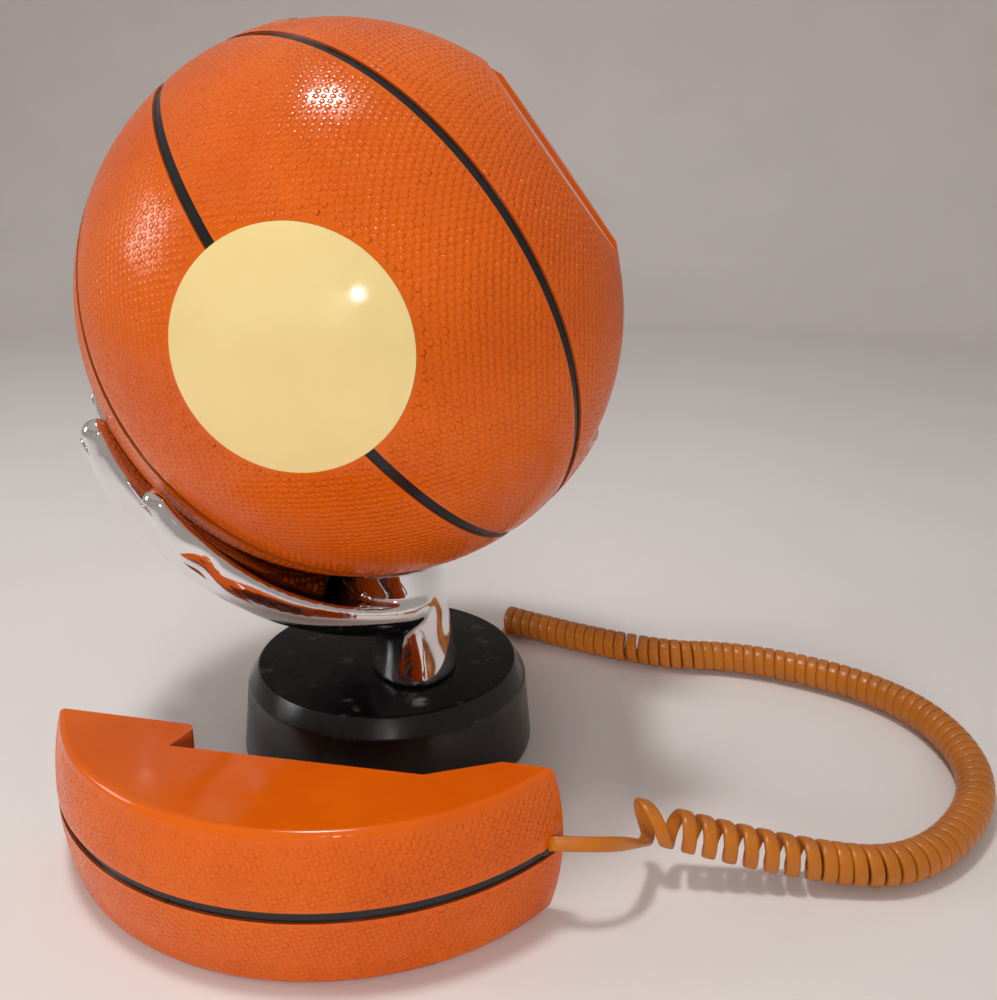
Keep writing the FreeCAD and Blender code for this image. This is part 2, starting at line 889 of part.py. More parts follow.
# Keypad frame: origin in the middle of the grip face, +X across, +Y to the ear, +Z out of the face
grip_middle = Vector((grip_top_x + grip_end_x) / 2, 0, (step_z + grip_end_z) / 2)
grip_along = Vector(grip_top_x - grip_end_x, 0, step_z - grip_end_z).normalize()
grip_across = Vector(0, -1, 0)
grip_out = grip_across.cross(grip_along)
grip_place = Placement(
    Matrix(
        grip_across.x, grip_along.x, grip_out.x, grip_middle.x,
        grip_across.y, grip_along.y, grip_out.y, grip_middle.y,
        grip_across.z, grip_along.z, grip_out.z, grip_middle.z,
        0, 0, 0, 1,
    )
)
key_names = ("1", "2", "3", "4", "5", "6", "7", "8", "9", "star", "0", "hash")
flange_top = -handset_wall - stop_gap
flange_low = flange_top - key_flange
mat_top = flange_low - key_travel - mat_clearance
mat_face = mat_top - mat_dome
mat_under = mat_face - mat_thickness
handset_board_under = mat_under - board_thickness
mat_half_width = (key_columns - 1) * key_pitch_across / 2 + key_width / 2 + key_flange_step + mat_margin
mat_half_length = (key_rows - 1) * key_pitch_along / 2 + key_length / 2 + key_flange_step + mat_margin
handset_board_half = mat_half_length + handset_board_margin


def key_places():
    places = []
    for row in range(key_rows):
        for column in range(key_columns):
            x = (column - (key_columns - 1) / 2) * key_pitch_across
            y = ((key_rows - 1) / 2 - row) * key_pitch_along
            places.append(Vector(x, y, 0))
    return places


def pad_block(place, width, length, corner, low, high):
    """A block with rounded upright edges on the keypad."""
    block = box(
        place + Vector(-width / 2, -length / 2, low),
        place + Vector(width / 2, length / 2, high),
    )
    upright = [e for e in block.Edges if e.BoundBox.ZLength > (high - low) / 2]
    return block.makeFillet(corner, upright)


def key(place):
    cap = pad_block(place, key_width, key_length, key_corner, flange_top, key_stand)
    rim = [e for e in cap.Edges if e.BoundBox.ZMin > key_stand - touch]
    cap = cap.makeFillet(key_rounding, rim)
    width = key_width + 2 * key_flange_step
    length = key_length + 2 * key_flange_step
    flange = pad_block(place, width, length, key_corner + key_flange_step, flange_low, flange_top)
    return cap.fuse(flange).removeSplitter()


def board_posts():
    x = mat_half_width - board_post_radius - board_edge
    y = handset_board_half - board_edge
    return [Vector(sx * x, sy * y, 0) for sx in (-1, 1) for sy in (-1, 1)]


def keypad_mat():
    plate = pad_block(
        Vector(0, 0, 0), 2 * mat_half_width, 2 * mat_half_length, key_corner + mat_margin, mat_under, mat_face
    )
    domes = [rod(mat_dome_radius, p + up_z * mat_under, p + up_z * mat_top) for p in key_places()]
    return joined([plate] + domes)


def handset_board():
    board = box(
        Vector(-handset_board_width / 2, -handset_board_half, handset_board_under),
        Vector(handset_board_width / 2, handset_board_half, mat_under),
    )
    for p in board_posts():
        board = board.cut(rod(board_screw_radius, p + up_z * handset_board_under, p + up_z * mat_under))
    return board


def handset_board_screws():
    tip = up_z * (handset_board_under + board_screw_length)
    return [
        screw(
            board_screw_radius, board_screw_length, board_screw_head_radius, board_screw_head,
            p + tip, Vector(0, 0, -1),
        )
        for p in board_posts()
    ]


tone_place = Vector(0, tone_switch_shift, 0)
tone_window = tone_knob_width + tone_travel + 2 * key_gap
tone_floor = -handset_wall - tone_body_depth / 2


def tone_switch_body():
    body = box(
        tone_place + Vector(-tone_body_width / 2, -tone_body_length / 2, -handset_wall - tone_body_depth),
        tone_place + Vector(tone_body_width / 2, tone_body_length / 2, -handset_wall),
    )
    half_length = tone_knob_length / 2 + key_gap
    track = box(
        tone_place + Vector(-tone_window / 2, -half_length, tone_floor),
        tone_place + Vector(tone_window / 2, half_length, 0),
    )
    return body.cut(track)


def tone_switch_knob():
    start = tone_place - Vector(tone_travel / 2, 0, 0)
    return box(
        start + Vector(-tone_knob_width / 2, -tone_knob_length / 2, tone_floor + key_gap),
        start + Vector(tone_knob_width / 2, tone_knob_length / 2, tone_knob_stand),
    )


# Earpiece, mouthpiece, screws and cord exit, in the handset's frame
receiver_z = chord_half - receiver_inset
microphone_z = -(chord_half - microphone_inset)
exit_reach = math.sqrt(ball_radius**2 - exit_x**2 - exit_rise**2)
grip_half = grip_length / 2


screw_seat = -handset_screw_head
screw_tip = screw_seat - handset_screw_length


def handset_screw_places():
    """The four screws' places on the grip face, in the keypad's frame."""
    y = grip_half - handset_screw_inset
    return [Vector(sx * handset_screw_across, sy * y, 0) for sx in (-1, 1) for sy in (-1, 1)]


def handset_screws():
    return [
        screw(
            handset_screw_radius, handset_screw_length, handset_screw_head_radius, handset_screw_head,
            p + up_z * screw_tip, up_z,
        )
        for p in handset_screw_places()
    ]


def receiver():
    start = Vector(chord_offset + handset_wall, 0, receiver_z)
    return rod(receiver_radius, start, start + Vector(receiver_height, 0, 0))


def receiver_holes():
    places = round_places(receiver_hole_count, receiver_hole_circle, 0) + [Vector(0, 0, 0)]
    starts = [Vector(chord_offset - handset_wall, p.x, receiver_z + p.y) for p in places]
    return [rod(receiver_hole_radius, s, s + Vector(2 * handset_wall, 0, 0)) for s in starts]


def microphone():
    start = Vector(mouth_x + handset_wall, 0, microphone_z)
    return rod(microphone_radius, start, start + Vector(microphone_height, 0, 0))


def microphone_holes():
    starts = [Vector(mouth_x - handset_wall, i * microphone_hole_step, microphone_z) for i in (-1, 0, 1)]
    return [rod(microphone_hole_radius, s, s + Vector(2 * handset_wall, 0, 0)) for s in starts]


exit_point = Vector(exit_x, exit_rise, -exit_reach)
exit_way = Vector(-math.sin(math.radians(exit_turn)), 0, -math.cos(math.radians(exit_turn)))


def cord_grommet():
    return rod(grommet_radius, exit_point - exit_way * exit_sink, exit_point + exit_way * exit_stand)


def inner_block():
    """All behind the inner face, with the ear block's corner rounded."""
    block = behind(inner_outline)
    place = Vector(chord_offset, 0, step_z - ear_block_lean)
    corner = [e for e in block.Edges if e.BoundBox.Center.distanceToPoint(place) < touch]
    return block.makeFillet(ear_corner_radius, corner)


def handset_outer_shell():
    shell = slice_blank(ball_radius, handset_half, handset_rim).common(inner_block()).cut(handset_inside)
    room = slice_blank(ball_radius - handset_wall / 2, handset_half, handset_rim).common(cover_inside)
    posts = [
        moved(rod(handset_boss_radius, p - up_z * far, p), grip_place).common(room)
        for p in handset_screw_places()
    ]
    shell = shell.multiFuse(posts)
    for p in handset_screw_places():
        shell = shell.cut(moved(rod(handset_screw_radius, p + up_z * screw_tip, p), grip_place))
    shell = shell.cut(ring_cut(Vector(0, 1, 0), seam_width, ball_radius - seam_depth))
    return shell.cut(cord_grommet())


def handset_inner_cover():
    space = slice_blank(
        ball_radius - handset_wall - cover_gap, handset_half - handset_wall - cover_gap, handset_wall / 2
    )
    cover = inner_block().cut(cover_inside).common(space)
    ring_start = Vector(chord_offset + handset_wall, 0, receiver_z)
    ring = tube(
        receiver_radius + receiver_ring_wall + cover_gap, receiver_radius + cover_gap,
        ring_start, ring_start + Vector(receiver_ring_height, 0, 0),
    )
    posts = [
        moved(rod(board_post_radius, p + up_z * mat_under, p - up_z * handset_wall), grip_place)
        for p in board_posts()
    ]
    cover = cover.multiFuse([ring] + posts)
    cuts = []
    for p in key_places():
        cuts.append(
            pad_block(
                p, key_width + 2 * key_gap, key_length + 2 * key_gap, key_corner + key_gap,
                -2 * handset_wall, handset_wall,
            )
        )
    half_length = tone_knob_length / 2 + key_gap
    cuts.append(
        box(
            tone_place + Vector(-tone_window / 2, -half_length, -2 * handset_wall),
            tone_place + Vector(tone_window / 2, half_length, handset_wall),
        )
    )
    for p in board_posts():
        depth = board_screw_length - board_thickness
        cuts.append(rod(board_screw_radius, p + up_z * mat_under, p + up_z * (mat_under + depth)))
    for p in handset_screw_places():
        cuts.append(rod(handset_screw_radius, p + up_z * screw_tip, p))
        cuts.append(rod(handset_screw_head_radius, p + up_z * screw_seat, p + up_z * handset_wall))
    for cut in cuts:
        cover = cover.cut(moved(cut, grip_place))
    for cut in receiver_holes() + microphone_holes() + [cord_grommet()]:
        cover = cover.cut(cut)
    return cover


pad_pieces = {
    "keypad_mat": keypad_mat(),
    "handset_circuit_board": handset_board(),
    "handset_board_screws": Part.makeCompound(handset_board_screws()),
    "handset_screws": Part.makeCompound(handset_screws()),
    "tone_switch_body": tone_switch_body(),
    "tone_switch_knob": tone_switch_knob(),
}
for name, place in zip(key_names, key_places()):
    pad_pieces["key_" + name] = key(place)
handset_pieces = {
    "handset_outer_shell": handset_outer_shell(),
    "handset_inner_cover": handset_inner_cover(),
    "receiver": receiver(),
    "microphone": microphone(),
    "handset_cord_grommet": cord_grommet(),
}
for name, piece in pad_pieces.items():
    handset_pieces[name] = moved(piece, grip_place)
for name, piece in handset_pieces.items():
    export(name, moved(piece, handset_place))


# Cord, in the world frame: a plain tail from the handset, the curly run, a plain tail to the base
tail_way = handset_place.Rotation.multVec(exit_way)
tail_start = handset_place.multVec(exit_point + exit_way * exit_stand)
gland_way = outward(gland_angle)
gland_end = gland_way * (base_radius_at(gland_height) + gland_stand) + up_z * gland_height
coil_radius = (coil_diameter - cord_diameter) / 2
coil_rest = coil_diameter / 2 + coil_lift

# The coil's axis, and the two points where the plain tails join the coil
coil_route = [
    Vector(82, -97, 19.5),
    Vector(124, -105.5, 9.2),
    Vector(168, -113, coil_rest),
    Vector(216, -68, coil_rest),
    Vector(216, -6, coil_rest),
    Vector(163, 37, coil_rest),
    Vector(112, 43, coil_rest),
    Vector(58, 86, coil_rest),
]
handset_joint = Vector(73.5, -108.4, 20.4)
base_joint = Vector(54, 72.5, 4.2)
handset_tail_route = [
    tail_start,
    tail_start + tail_way * tail_run,
    Vector(67.5, -114, 25.2),
    handset_joint,
]
base_tail_route = [
    base_joint,
    Vector(46.5, 66.5, 8.8),
    gland_end + gland_way * tail_run,
    gland_end,
]


def rounded_route(points):
    """Straight runs between the points, with an arc tangent to both at every turn."""
    edges = []
    radii = []
    start = points[0]
    for before, corner, after in zip(points, points[1:], points[2:]):
        back = (before - corner).normalize()
        on = (after - corner).normalize()
        trim = bend_share * min((before - corner).Length, (after - corner).Length)
        half_turn = (math.pi - back.getAngle(on)) / 2
        radius = trim / math.tan(half_turn)
        inward = (back + on).normalize()
        middle = corner + inward * (math.hypot(trim, radius) - radius)
        edges.append(Part.LineSegment(start, corner + back * trim).toShape())
        edges.append(Part.Arc(corner + back * trim, middle, corner + on * trim).toShape())
        radii.append(round(radius, 1))
        start = corner + on * trim
    edges.append(Part.LineSegment(start, points[-1]).toShape())
    print("bend radii", radii)
    return edges


def swept(edges, start, way):
    """A round tube of the cord's diameter along a run of edges."""
    ring = Part.Wire(Part.Circle(start, way, cord_diameter / 2).toShape())
    tube_shape = Part.Wire(edges).makePipeShell([ring], True, False)
    length = sum(e.Length for e in edges)
    expected = math.pi * cord_diameter**2 / 4 * length
    print("cord run of", round(length, 1), "volume over expected", round(tube_shape.Volume / expected, 4))
    return tube_shape


def along_route(edges, distance):
    """The point that far along a run of edges, and the way it heads there."""
    for edge in edges:
        if distance <= edge.Length or edge is edges[-1]:
            at = edge.getParameterByLength(min(distance, edge.Length))
            return edge.valueAt(at), edge.tangentAt(at)
        distance -= edge.Length


coil_axis = rounded_route(coil_route)
coil_length = sum(e.Length for e in coil_axis)
open_length = coil_open_turns * coil_open_pitch
close_turns = round((coil_length - open_length) / coil_pitch)
close_pitch = (coil_length - open_length) / close_turns
coil_turns = coil_open_turns + close_turns


def coil_distance(turn):
    """How far along the axis a turn of the coil lies."""
    if turn < coil_open_turns:
        return turn * coil_open_pitch
    return open_length + (turn - coil_open_turns) * close_pitch


def coil_point(turn):
    """The wire's middle at a turn of the coil, which starts and ends at the bottom."""
    middle, way = along_route(coil_axis, coil_distance(turn))
    side = up_z.cross(way).normalize()
    rise = way.cross(side)
    angle = 2 * math.pi * turn
    return middle + side * (coil_radius * math.sin(angle)) - rise * (coil_radius * math.cos(angle))


def coil_heading(turn):
    """The way the wire heads at a turn, by a small step to both sides that stays on the coil."""
    before = max(0, turn - turn_step)
    after = min(coil_turns, turn + turn_step)
    return (coil_point(after) - coil_point(before)).normalize()


def tangent_arc(start, way, end):
    """The arc from start to end that leaves along way, and its radius."""
    chord = end - start
    angle = way.getAngle(chord)
    across = way - chord * (way.dot(chord) / chord.Length**2)
    middle = start + chord * 0.5 + across.normalize() * (chord.Length / 2 * math.tan(angle / 2))
    return Part.Arc(start, middle, end).toShape(), chord.Length / 2 / math.sin(angle)


def biarc(start, way, end, end_way):
    """Two arcs from start to end that meet smoothly and keep both ways."""
    reach = end - start
    a = 2 * (1 - way.dot(end_way))
    b = 2 * reach.dot(way + end_way)
    c = -reach.dot(reach)
    run = (math.sqrt(b * b - 4 * a * c) - b) / (2 * a)
    joint = (start + way * run + end - end_way * run) * 0.5
    joint_way = (end - end_way * run - start - way * run).normalize()
    first, first_radius = tangent_arc(start, way, joint)
    second, second_radius = tangent_arc(joint, joint_way, end)
    return [first, second], min(first_radius, second_radius)


def coil_self_gap():
    """The least gap between turns, over points at least half a turn apart."""
    points = [coil_point(i / gap_steps) for i in range(coil_turns * gap_steps + 1)]
    least = far
    for i, point in enumerate(points):
        for other in points[i + gap_steps // 2 + 1 :]:
            least = min(least, point.distanceToPoint(other))
    return least - cord_diameter


def curly_cord():
    way = (handset_tail_route[-1] - handset_tail_route[-2]).normalize()
    end_way = (base_tail_route[1] - base_tail_route[0]).normalize()
    first = handset_joint + way * cord_diameter
    last = base_joint - end_way * cord_diameter
    turns = [i / coil_steps for i in range(coil_turns * coil_steps + 1)]
    stations = [(first, way)] + [(coil_point(t), coil_heading(t)) for t in turns] + [(last, end_way)]
    edges = [Part.LineSegment(handset_joint, first).toShape()]
    tightest = far
    for start, end in zip(stations, stations[1:]):
        arcs, radius = biarc(*start, *end)
        edges += arcs
        tightest = min(tightest, radius)
    edges.append(Part.LineSegment(last, base_joint).toShape())
    print("coil", coil_turns, "turns on", round(coil_length, 1), "tightest arc", round(tightest, 2))
    print("coil gap to itself", round(coil_self_gap(), 2))
    return swept(edges, handset_joint, way)


cord_pieces = {
    "cord_tail_handset": swept(rounded_route(handset_tail_route), tail_start, tail_way),
    "curly_cord": curly_cord(),
    "cord_tail_base": swept(
        rounded_route(base_tail_route), base_joint, base_tail_route[1] - base_joint
    ),
}
for name, piece in cord_pieces.items():
    export(name, piece)
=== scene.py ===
import math

import bmesh
import bpy
import numpy as np
from mathutils import Matrix, Vector
from mathutils.bvhtree import BVHTree


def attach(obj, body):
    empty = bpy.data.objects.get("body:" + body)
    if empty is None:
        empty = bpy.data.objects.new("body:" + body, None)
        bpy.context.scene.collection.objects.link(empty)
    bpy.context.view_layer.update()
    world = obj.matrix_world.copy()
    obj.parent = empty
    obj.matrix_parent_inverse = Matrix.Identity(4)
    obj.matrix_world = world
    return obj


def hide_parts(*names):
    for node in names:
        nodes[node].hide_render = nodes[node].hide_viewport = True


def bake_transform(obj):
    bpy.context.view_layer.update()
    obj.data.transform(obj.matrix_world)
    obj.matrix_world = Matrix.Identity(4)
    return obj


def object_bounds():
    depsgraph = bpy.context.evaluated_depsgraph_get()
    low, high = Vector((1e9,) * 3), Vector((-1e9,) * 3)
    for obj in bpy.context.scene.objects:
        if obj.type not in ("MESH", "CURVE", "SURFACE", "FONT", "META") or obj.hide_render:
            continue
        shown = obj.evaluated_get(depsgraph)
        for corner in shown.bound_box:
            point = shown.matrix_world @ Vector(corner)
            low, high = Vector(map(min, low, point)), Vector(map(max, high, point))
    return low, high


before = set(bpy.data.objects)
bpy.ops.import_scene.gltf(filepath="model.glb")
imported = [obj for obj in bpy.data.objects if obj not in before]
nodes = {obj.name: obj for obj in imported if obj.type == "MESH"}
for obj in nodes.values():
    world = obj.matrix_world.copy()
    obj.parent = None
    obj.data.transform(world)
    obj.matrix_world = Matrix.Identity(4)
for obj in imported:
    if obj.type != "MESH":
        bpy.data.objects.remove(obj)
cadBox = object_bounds()
scene = bpy.context.scene
scene.view_settings.view_transform = "Standard"
mm = 0.001

# The ball's own frame: out of the handset slot, out of the badge, up the seams' pole
ballPlace = {
    "centre": Vector((-0.006, 0.004, 0.168)),
    "slot": Vector((0.7812, -0.1661, 0.6018)),
    "badge": Vector((-0.2079, -0.9781, 0.0)),
    "pole": Vector((-0.5886, 0.1251, 0.7986)),
    "radius": 0.095,
}
# The handset lies on its side, its ball surface centred here
handsetPlace = {
    "centre": Vector((-0.0153, -0.0424, 0.02475)),
    "out": Vector((-0.3133, -0.9497, 0.0)),
    "ear": Vector((-0.9497, 0.3133, 0.0)),
    "halfThick": 0.02475,
}


def linkPiece(name, mesh):
    piece = bpy.data.objects.new(name, mesh)
    scene.collection.objects.link(piece)
    return piece


def meshFrom(name, points, faces):
    mesh = bpy.data.meshes.new(name)
    mesh.from_pydata([tuple(p) for p in points], [], faces)
    mesh.update()
    return mesh


def shadeSmooth(mesh):
    mesh.polygons.foreach_set("use_smooth", [True] * len(mesh.polygons))
    mesh.update()


def outward(mesh, join=1e-6):
    work = bmesh.new()
    work.from_mesh(mesh)
    if join:
        bmesh.ops.remove_doubles(work, verts=work.verts, dist=join)
    bmesh.ops.recalc_face_normals(work, faces=work.faces)
    work.to_mesh(mesh)
    work.free()


def evaluated(piece):
    # a plain mesh of a piece as its curve or its modifiers make it
    bpy.context.view_layer.update()
    return bpy.data.meshes.new_from_object(piece.evaluated_get(bpy.context.evaluated_depsgraph_get()))


def discard(piece):
    spent = piece.data
    bpy.data.objects.remove(piece)
    (bpy.data.meshes if isinstance(spent, bpy.types.Mesh) else bpy.data.curves).remove(spent)


def vertexPlaces(mesh):
    place = np.empty(len(mesh.vertices) * 3)
    mesh.vertices.foreach_get("co", place)
    return place.reshape(-1, 3)


def tubeFaces(count, n):
    # faces between a tube's rings of n points, and one at each end
    faces = []
    for k in range(count - 1):
        a, b = k * n, (k + 1) * n
        faces += [(a + i, a + (i + 1) % n, b + (i + 1) % n, b + i) for i in range(n)]
    return faces + [tuple(range(n)), tuple(range((count - 1) * n, count * n))]


def plug(tree, value, socket):
    # a link from another node, or a plain value
    if isinstance(value, bpy.types.NodeSocket):
        tree.links.new(value, socket)
    else:
        socket.default_value = (*value, 1.0) if socket.type == "RGBA" else value


def addNode(tree, kind, settings=None, **inputs):
    # inputs go by name, or by number after the letter i
    made = tree.nodes.new(kind)
    for key, value in (settings or {}).items():
        setattr(made, key, value)
    for key, value in inputs.items():
        byNumber = key[0] == "i" and key[1:].isdigit()
        plug(tree, value, made.inputs[int(key[1:]) if byNumber else key])
    return made


def doMath(tree, operation, *values):
    made = addNode(tree, "ShaderNodeMath", {"operation": operation})
    for value, socket in zip(values, made.inputs):
        plug(tree, value, socket)
    return made.outputs[0]


def dotWith(tree, vector, way):
    made = addNode(tree, "ShaderNodeVectorMath", {"operation": "DOT_PRODUCT"}, i0=vector, i1=tuple(way))
    return made.outputs["Value"]


def ramp(tree, value, low, high, out0=0.0, out1=1.0):
    made = addNode(
        tree, "ShaderNodeMapRange", {"interpolation_type": "SMOOTHSTEP"},
        Value=value, i1=low, i2=high, i3=out0, i4=out1,
    )
    return made.outputs[0]


def newMaterial(name, metallic=0.0):
    material = bpy.data.materials.new(name)
    material.use_nodes = True
    tree = material.node_tree
    shader = tree.nodes["Principled BSDF"]
    shader.inputs["Metallic"].default_value = metallic
    coords = tree.nodes.new("ShaderNodeTexCoord").outputs["Object"]
    return material, tree, shader, coords


def mixColour(tree, factor, a, b):
    return addNode(tree, "ShaderNodeMix", {"data_type": "RGBA"}, i0=factor, i6=a, i7=b).outputs[2]


def noise(tree, coords, scale, detail=3.0, rough=0.5):
    made = addNode(
        tree, "ShaderNodeTexNoise", None, Vector=coords, Scale=scale, Detail=detail, Roughness=rough
    )
    return made.outputs["Fac"]


def patches(tree, coords, scale):
    return ramp(tree, noise(tree, coords, scale), 0.3, 0.7)


def varyRough(tree, shader, coords, scale, low, high, detail=3.0):
    wander = ramp(tree, noise(tree, coords, scale, detail), 0.3, 0.75, low, high)
    tree.links.new(wander, shader.inputs["Roughness"])


def bump(tree, shader, height, distance):
    made = addNode(tree, "ShaderNodeBump", None, Height=height, Distance=distance, Strength=1.0)
    tree.links.new(made.outputs["Normal"], shader.inputs["Normal"])


def paint(material, *names):
    for name in names:
        piece = nodes[name]
        piece.data.materials.clear()
        piece.data.materials.append(material)


print("stage: camera and light")

cameraSettings = {
    "place": Vector((0.0, -0.36978, 0.21845)),
    "right": Vector((0.99370945, -0.11143479, 0.01112714)),
    "up": Vector((0.02421571, 0.31081811, 0.95016088)),
    "ahead": Vector((0.1093395, 0.9439144, -0.31156137)),
    "focalPixels": 1036.555,
    "imageWidth": 997,
    "sensorWidth": 36.0,
    "clipStart": 0.01,
}


def makeCamera(s):
    data = bpy.data.cameras.new("photoCamera")
    data.sensor_fit = "HORIZONTAL"
    data.sensor_width = s["sensorWidth"]
    data.lens = s["sensorWidth"] * s["focalPixels"] / s["imageWidth"]
    data.clip_start = s["clipStart"]
    camera = linkPiece("photoCamera", data)
    turn = Matrix((s["right"], s["up"], -s["ahead"])).transposed()
    camera.matrix_world = Matrix.Translation(s["place"]) @ turn.to_4x4()
    scene.camera = camera


makeCamera(cameraSettings)

stageSettings = {
    "floorRadius": 1.1,
    "coveRadius": 0.5,
    "wallHeight": 1.3,
    "steps": 16,
    "sides": 96,
    "colour": (0.78, 0.735, 0.71),
    "roughness": 0.6,
    "mottleScale": 9.0,
    "mottleShade": 0.97,
}


def makeStage(s):
    profile = [(0.0, 0.0), (s["floorRadius"], 0.0)]
    for i in range(1, s["steps"] + 1):
        a = 0.5 * math.pi * i / s["steps"]
        out, rise = s["coveRadius"] * math.sin(a), s["coveRadius"] * (1 - math.cos(a))
        profile.append((s["floorRadius"] + out, rise))
    profile.append((s["floorRadius"] + s["coveRadius"], s["wallHeight"]))
    points = [(0.0, 0.0, 0.0)]
    n = s["sides"]
    turns = [2 * math.pi * i / n for i in range(n)]
    for r, z in profile[1:]:
        points += [(r * math.cos(turn), r * math.sin(turn), z) for turn in turns]
    faces = [(0, 1 + i, 1 + (i + 1) % n) for i in range(n)]
    for k in range(len(profile) - 2):
        a, b = 1 + k * n, 1 + (k + 1) * n
        faces += [(a + i, b + i, b + (i + 1) % n, a + (i + 1) % n) for i in range(n)]
    mesh = meshFrom("studioSweep", points, faces)
    shadeSmooth(mesh)
    material, tree, shader, coords = newMaterial("paleSweep")
    shader.inputs["Roughness"].default_value = s["roughness"]
    tone = patches(tree, coords, s["mottleScale"])
    shade = mixColour(tree, tone, s["colour"], [c * s["mottleShade"] for c in s["colour"]])
    tree.links.new(shade, shader.inputs["Base Color"])
    mesh.materials.append(material)
    linkPiece("studioSweep", mesh)


makeStage(stageSettings)

lightSettings = {
    "overhead": {"place": (-0.13, -0.04, 1.05), "aim": (0.0, -0.02, 0.1), "size": 0.14, "power": 4.2},
    "leftWindow": {"place": (-0.95, 0.02, 0.50), "aim": (0.0, 0.0, 0.15), "size": 0.3, "power": 1.9},
    "cameraLamp": {"place": (-0.01, -0.42, 0.26), "aim": (0.0, 0.0, 0.13), "size": 0.02, "power": 0.10},
    # a broad fill from the front that leaves no mirror image of itself
    "frontFill": {"place": (-0.20, -1.30, 0.34), "aim": (0.0, 0.0, 0.12), "size": 0.3, "power": 0.55},
    "fillSpread": 42.0,
    "worldColour": (0.84, 0.80, 0.77),
    "worldStrength": 0.46,
}


def makeLights(s):
    for name in ("overhead", "leftWindow", "cameraLamp", "frontFill"):
        lamp = s[name]
        data = bpy.data.lights.new(name, "AREA")
        data.size = lamp["size"]
        data.energy = lamp["power"]
        light = linkPiece(name, data)
        if name == "frontFill":
            data.spread = math.radians(s["fillSpread"])
            light.visible_glossy = False
        turn = (Vector(lamp["aim"]) - Vector(lamp["place"])).to_track_quat("-Z", "Y")
        light.matrix_world = Matrix.Translation(Vector(lamp["place"])) @ turn.to_matrix().to_4x4()
    world = bpy.data.worlds.new("paleRoom")
    scene.world = world
    world.use_nodes = True
    back = world.node_tree.nodes["Background"]
    back.inputs["Color"].default_value = (*s["worldColour"], 1.0)
    back.inputs["Strength"].default_value = s["worldStrength"]


makeLights(lightSettings)

print("stage: cord")

cordSettings = {
    "handsetTail": [
        (45.5, -115.142, 27.75), (48.955, -115.649, 27.75), (58.356, -117.014, 27.75), (67.5, -114.0, 25.2),
        (73.5, -108.4, 20.4), (79.2, -99.6, 14.3),
    ],
    "coilAxis": [
        (82, -97, 19.5), (124, -105.5, 9.2), (168, -113, 7.2), (216, -68, 7.2),
        (216, -6, 7.2), (163, 37, 7.2), (112, 43, 7.2), (58, 86, 7.2),
    ],
    "baseTail": [(54, 72.5, 4.2), (46.5, 66.5, 8.8), (37.475, 59.972, 13.0), (32.441, 51.916, 13.0)],
    # which way the flat cord's thin side faces at each of the tails' points
    "handsetTailFacing": [
        (-0.12, -0.85, 0.5), (-0.12, -0.85, 0.5), (0.05, -0.85, 0.5), (0.25, -0.95, 0.1), (0.2, -0.8, -0.6),
        (0.0, -0.3, -1.0),
    ],
    "baseTailFacing": [(0.1, 0.2, -1.0), (0.3, -0.4, -0.8), (0.8, -0.5, -0.2), (0.85, -0.53, 0.0)],
    "turns": 80,
    "openTurns": 8,
    "openPitch": 6.6,
    # the first loop leans back over the tail, and two turns stand a little apart
    "leanTurns": 1.5,
    "leanReach": 15.0,
    "gapTurn": 66,
    "gap": 1.6,
    "length": 2.778,
    "coilRadius": 5.3,
    "pointsPerTurn": 16,
    # curve steps between the axis's points and between the cord's
    "axisSteps": 24,
    "lineSteps": 3,
    # the flat section: sizes, points round it and how square it is each way
    "width": 4.5,
    "thick": 2.4,
    "sectionPoints": 14,
    "flatness": (0.5, 0.62),
    "colour": (0.48, 0.142, 0.007),
    "patchScale": 60.0,
    "patchShade": 0.86,
    "roughScale": 240.0,
    "roughness": (0.28, 0.42),
    "grainScale": 900.0,
    "grainHeight": 0.00003,
    "glow": 0.08,
    "glowRadius": (0.0012, 0.0006, 0.0002),
}


def splinePoints(name, points, resolution):
    # points of a smooth line, read from a bare NURBS curve
    data = bpy.data.curves.new(name, "CURVE")
    data.dimensions = "3D"
    data.resolution_u = resolution
    spline = data.splines.new("NURBS")
    spline.points.add(len(points) - 1)
    for point, place in zip(spline.points, points):
        point.co = (*place, 1.0)
    spline.order_u = 3
    spline.use_endpoint_u = True
    curve = linkPiece(name, data)
    line = evaluated(curve)
    found = vertexPlaces(line)
    bpy.data.meshes.remove(line)
    discard(curve)
    return found


def unit(rows):
    return rows / np.linalg.norm(rows, axis=-1, keepdims=True)


def coilLine(s):
    axis = splinePoints("coilAxis", [np.array(p) * mm for p in s["coilAxis"]], s["axisSteps"])
    run = np.concatenate([[0.0], np.cumsum(np.linalg.norm(np.diff(axis, axis=0), axis=1))])
    heading = unit(np.gradient(axis, axis=0))
    openRun = s["openTurns"] * s["openPitch"] * mm
    pitch = (run[-1] - openRun - s["gap"] * mm) / (s["turns"] - s["openTurns"])
    turn = np.arange(s["turns"] * s["pointsPerTurn"] + 1) / s["pointsPerTurn"]
    opened = turn * s["openPitch"] * mm
    closed = openRun + (turn - s["openTurns"]) * pitch
    at = np.where(turn < s["openTurns"], opened, closed)
    at = at + np.clip(turn - s["gapTurn"], 0, 1) * s["gap"] * mm
    middle = np.stack([np.interp(at, run, axis[:, i]) for i in range(3)], 1)
    along = unit(np.stack([np.interp(at, run, heading[:, i]) for i in range(3)], 1))
    side = unit(np.cross((0.0, 0.0, 1.0), along))
    rise = np.cross(along, side)
    angle = (2 * math.pi * turn)[:, None]
    spoke = side * np.sin(angle) - rise * np.cos(angle)
    radius = s["coilRadius"] * mm / math.cos(math.pi / s["pointsPerTurn"])
    lean = np.clip(1 - turn / s["leanTurns"], 0, 1)[:, None] ** 2 * (0.5 - 0.5 * np.cos(angle))
    return middle + spoke * radius - along * lean * s["leanReach"] * mm, spoke


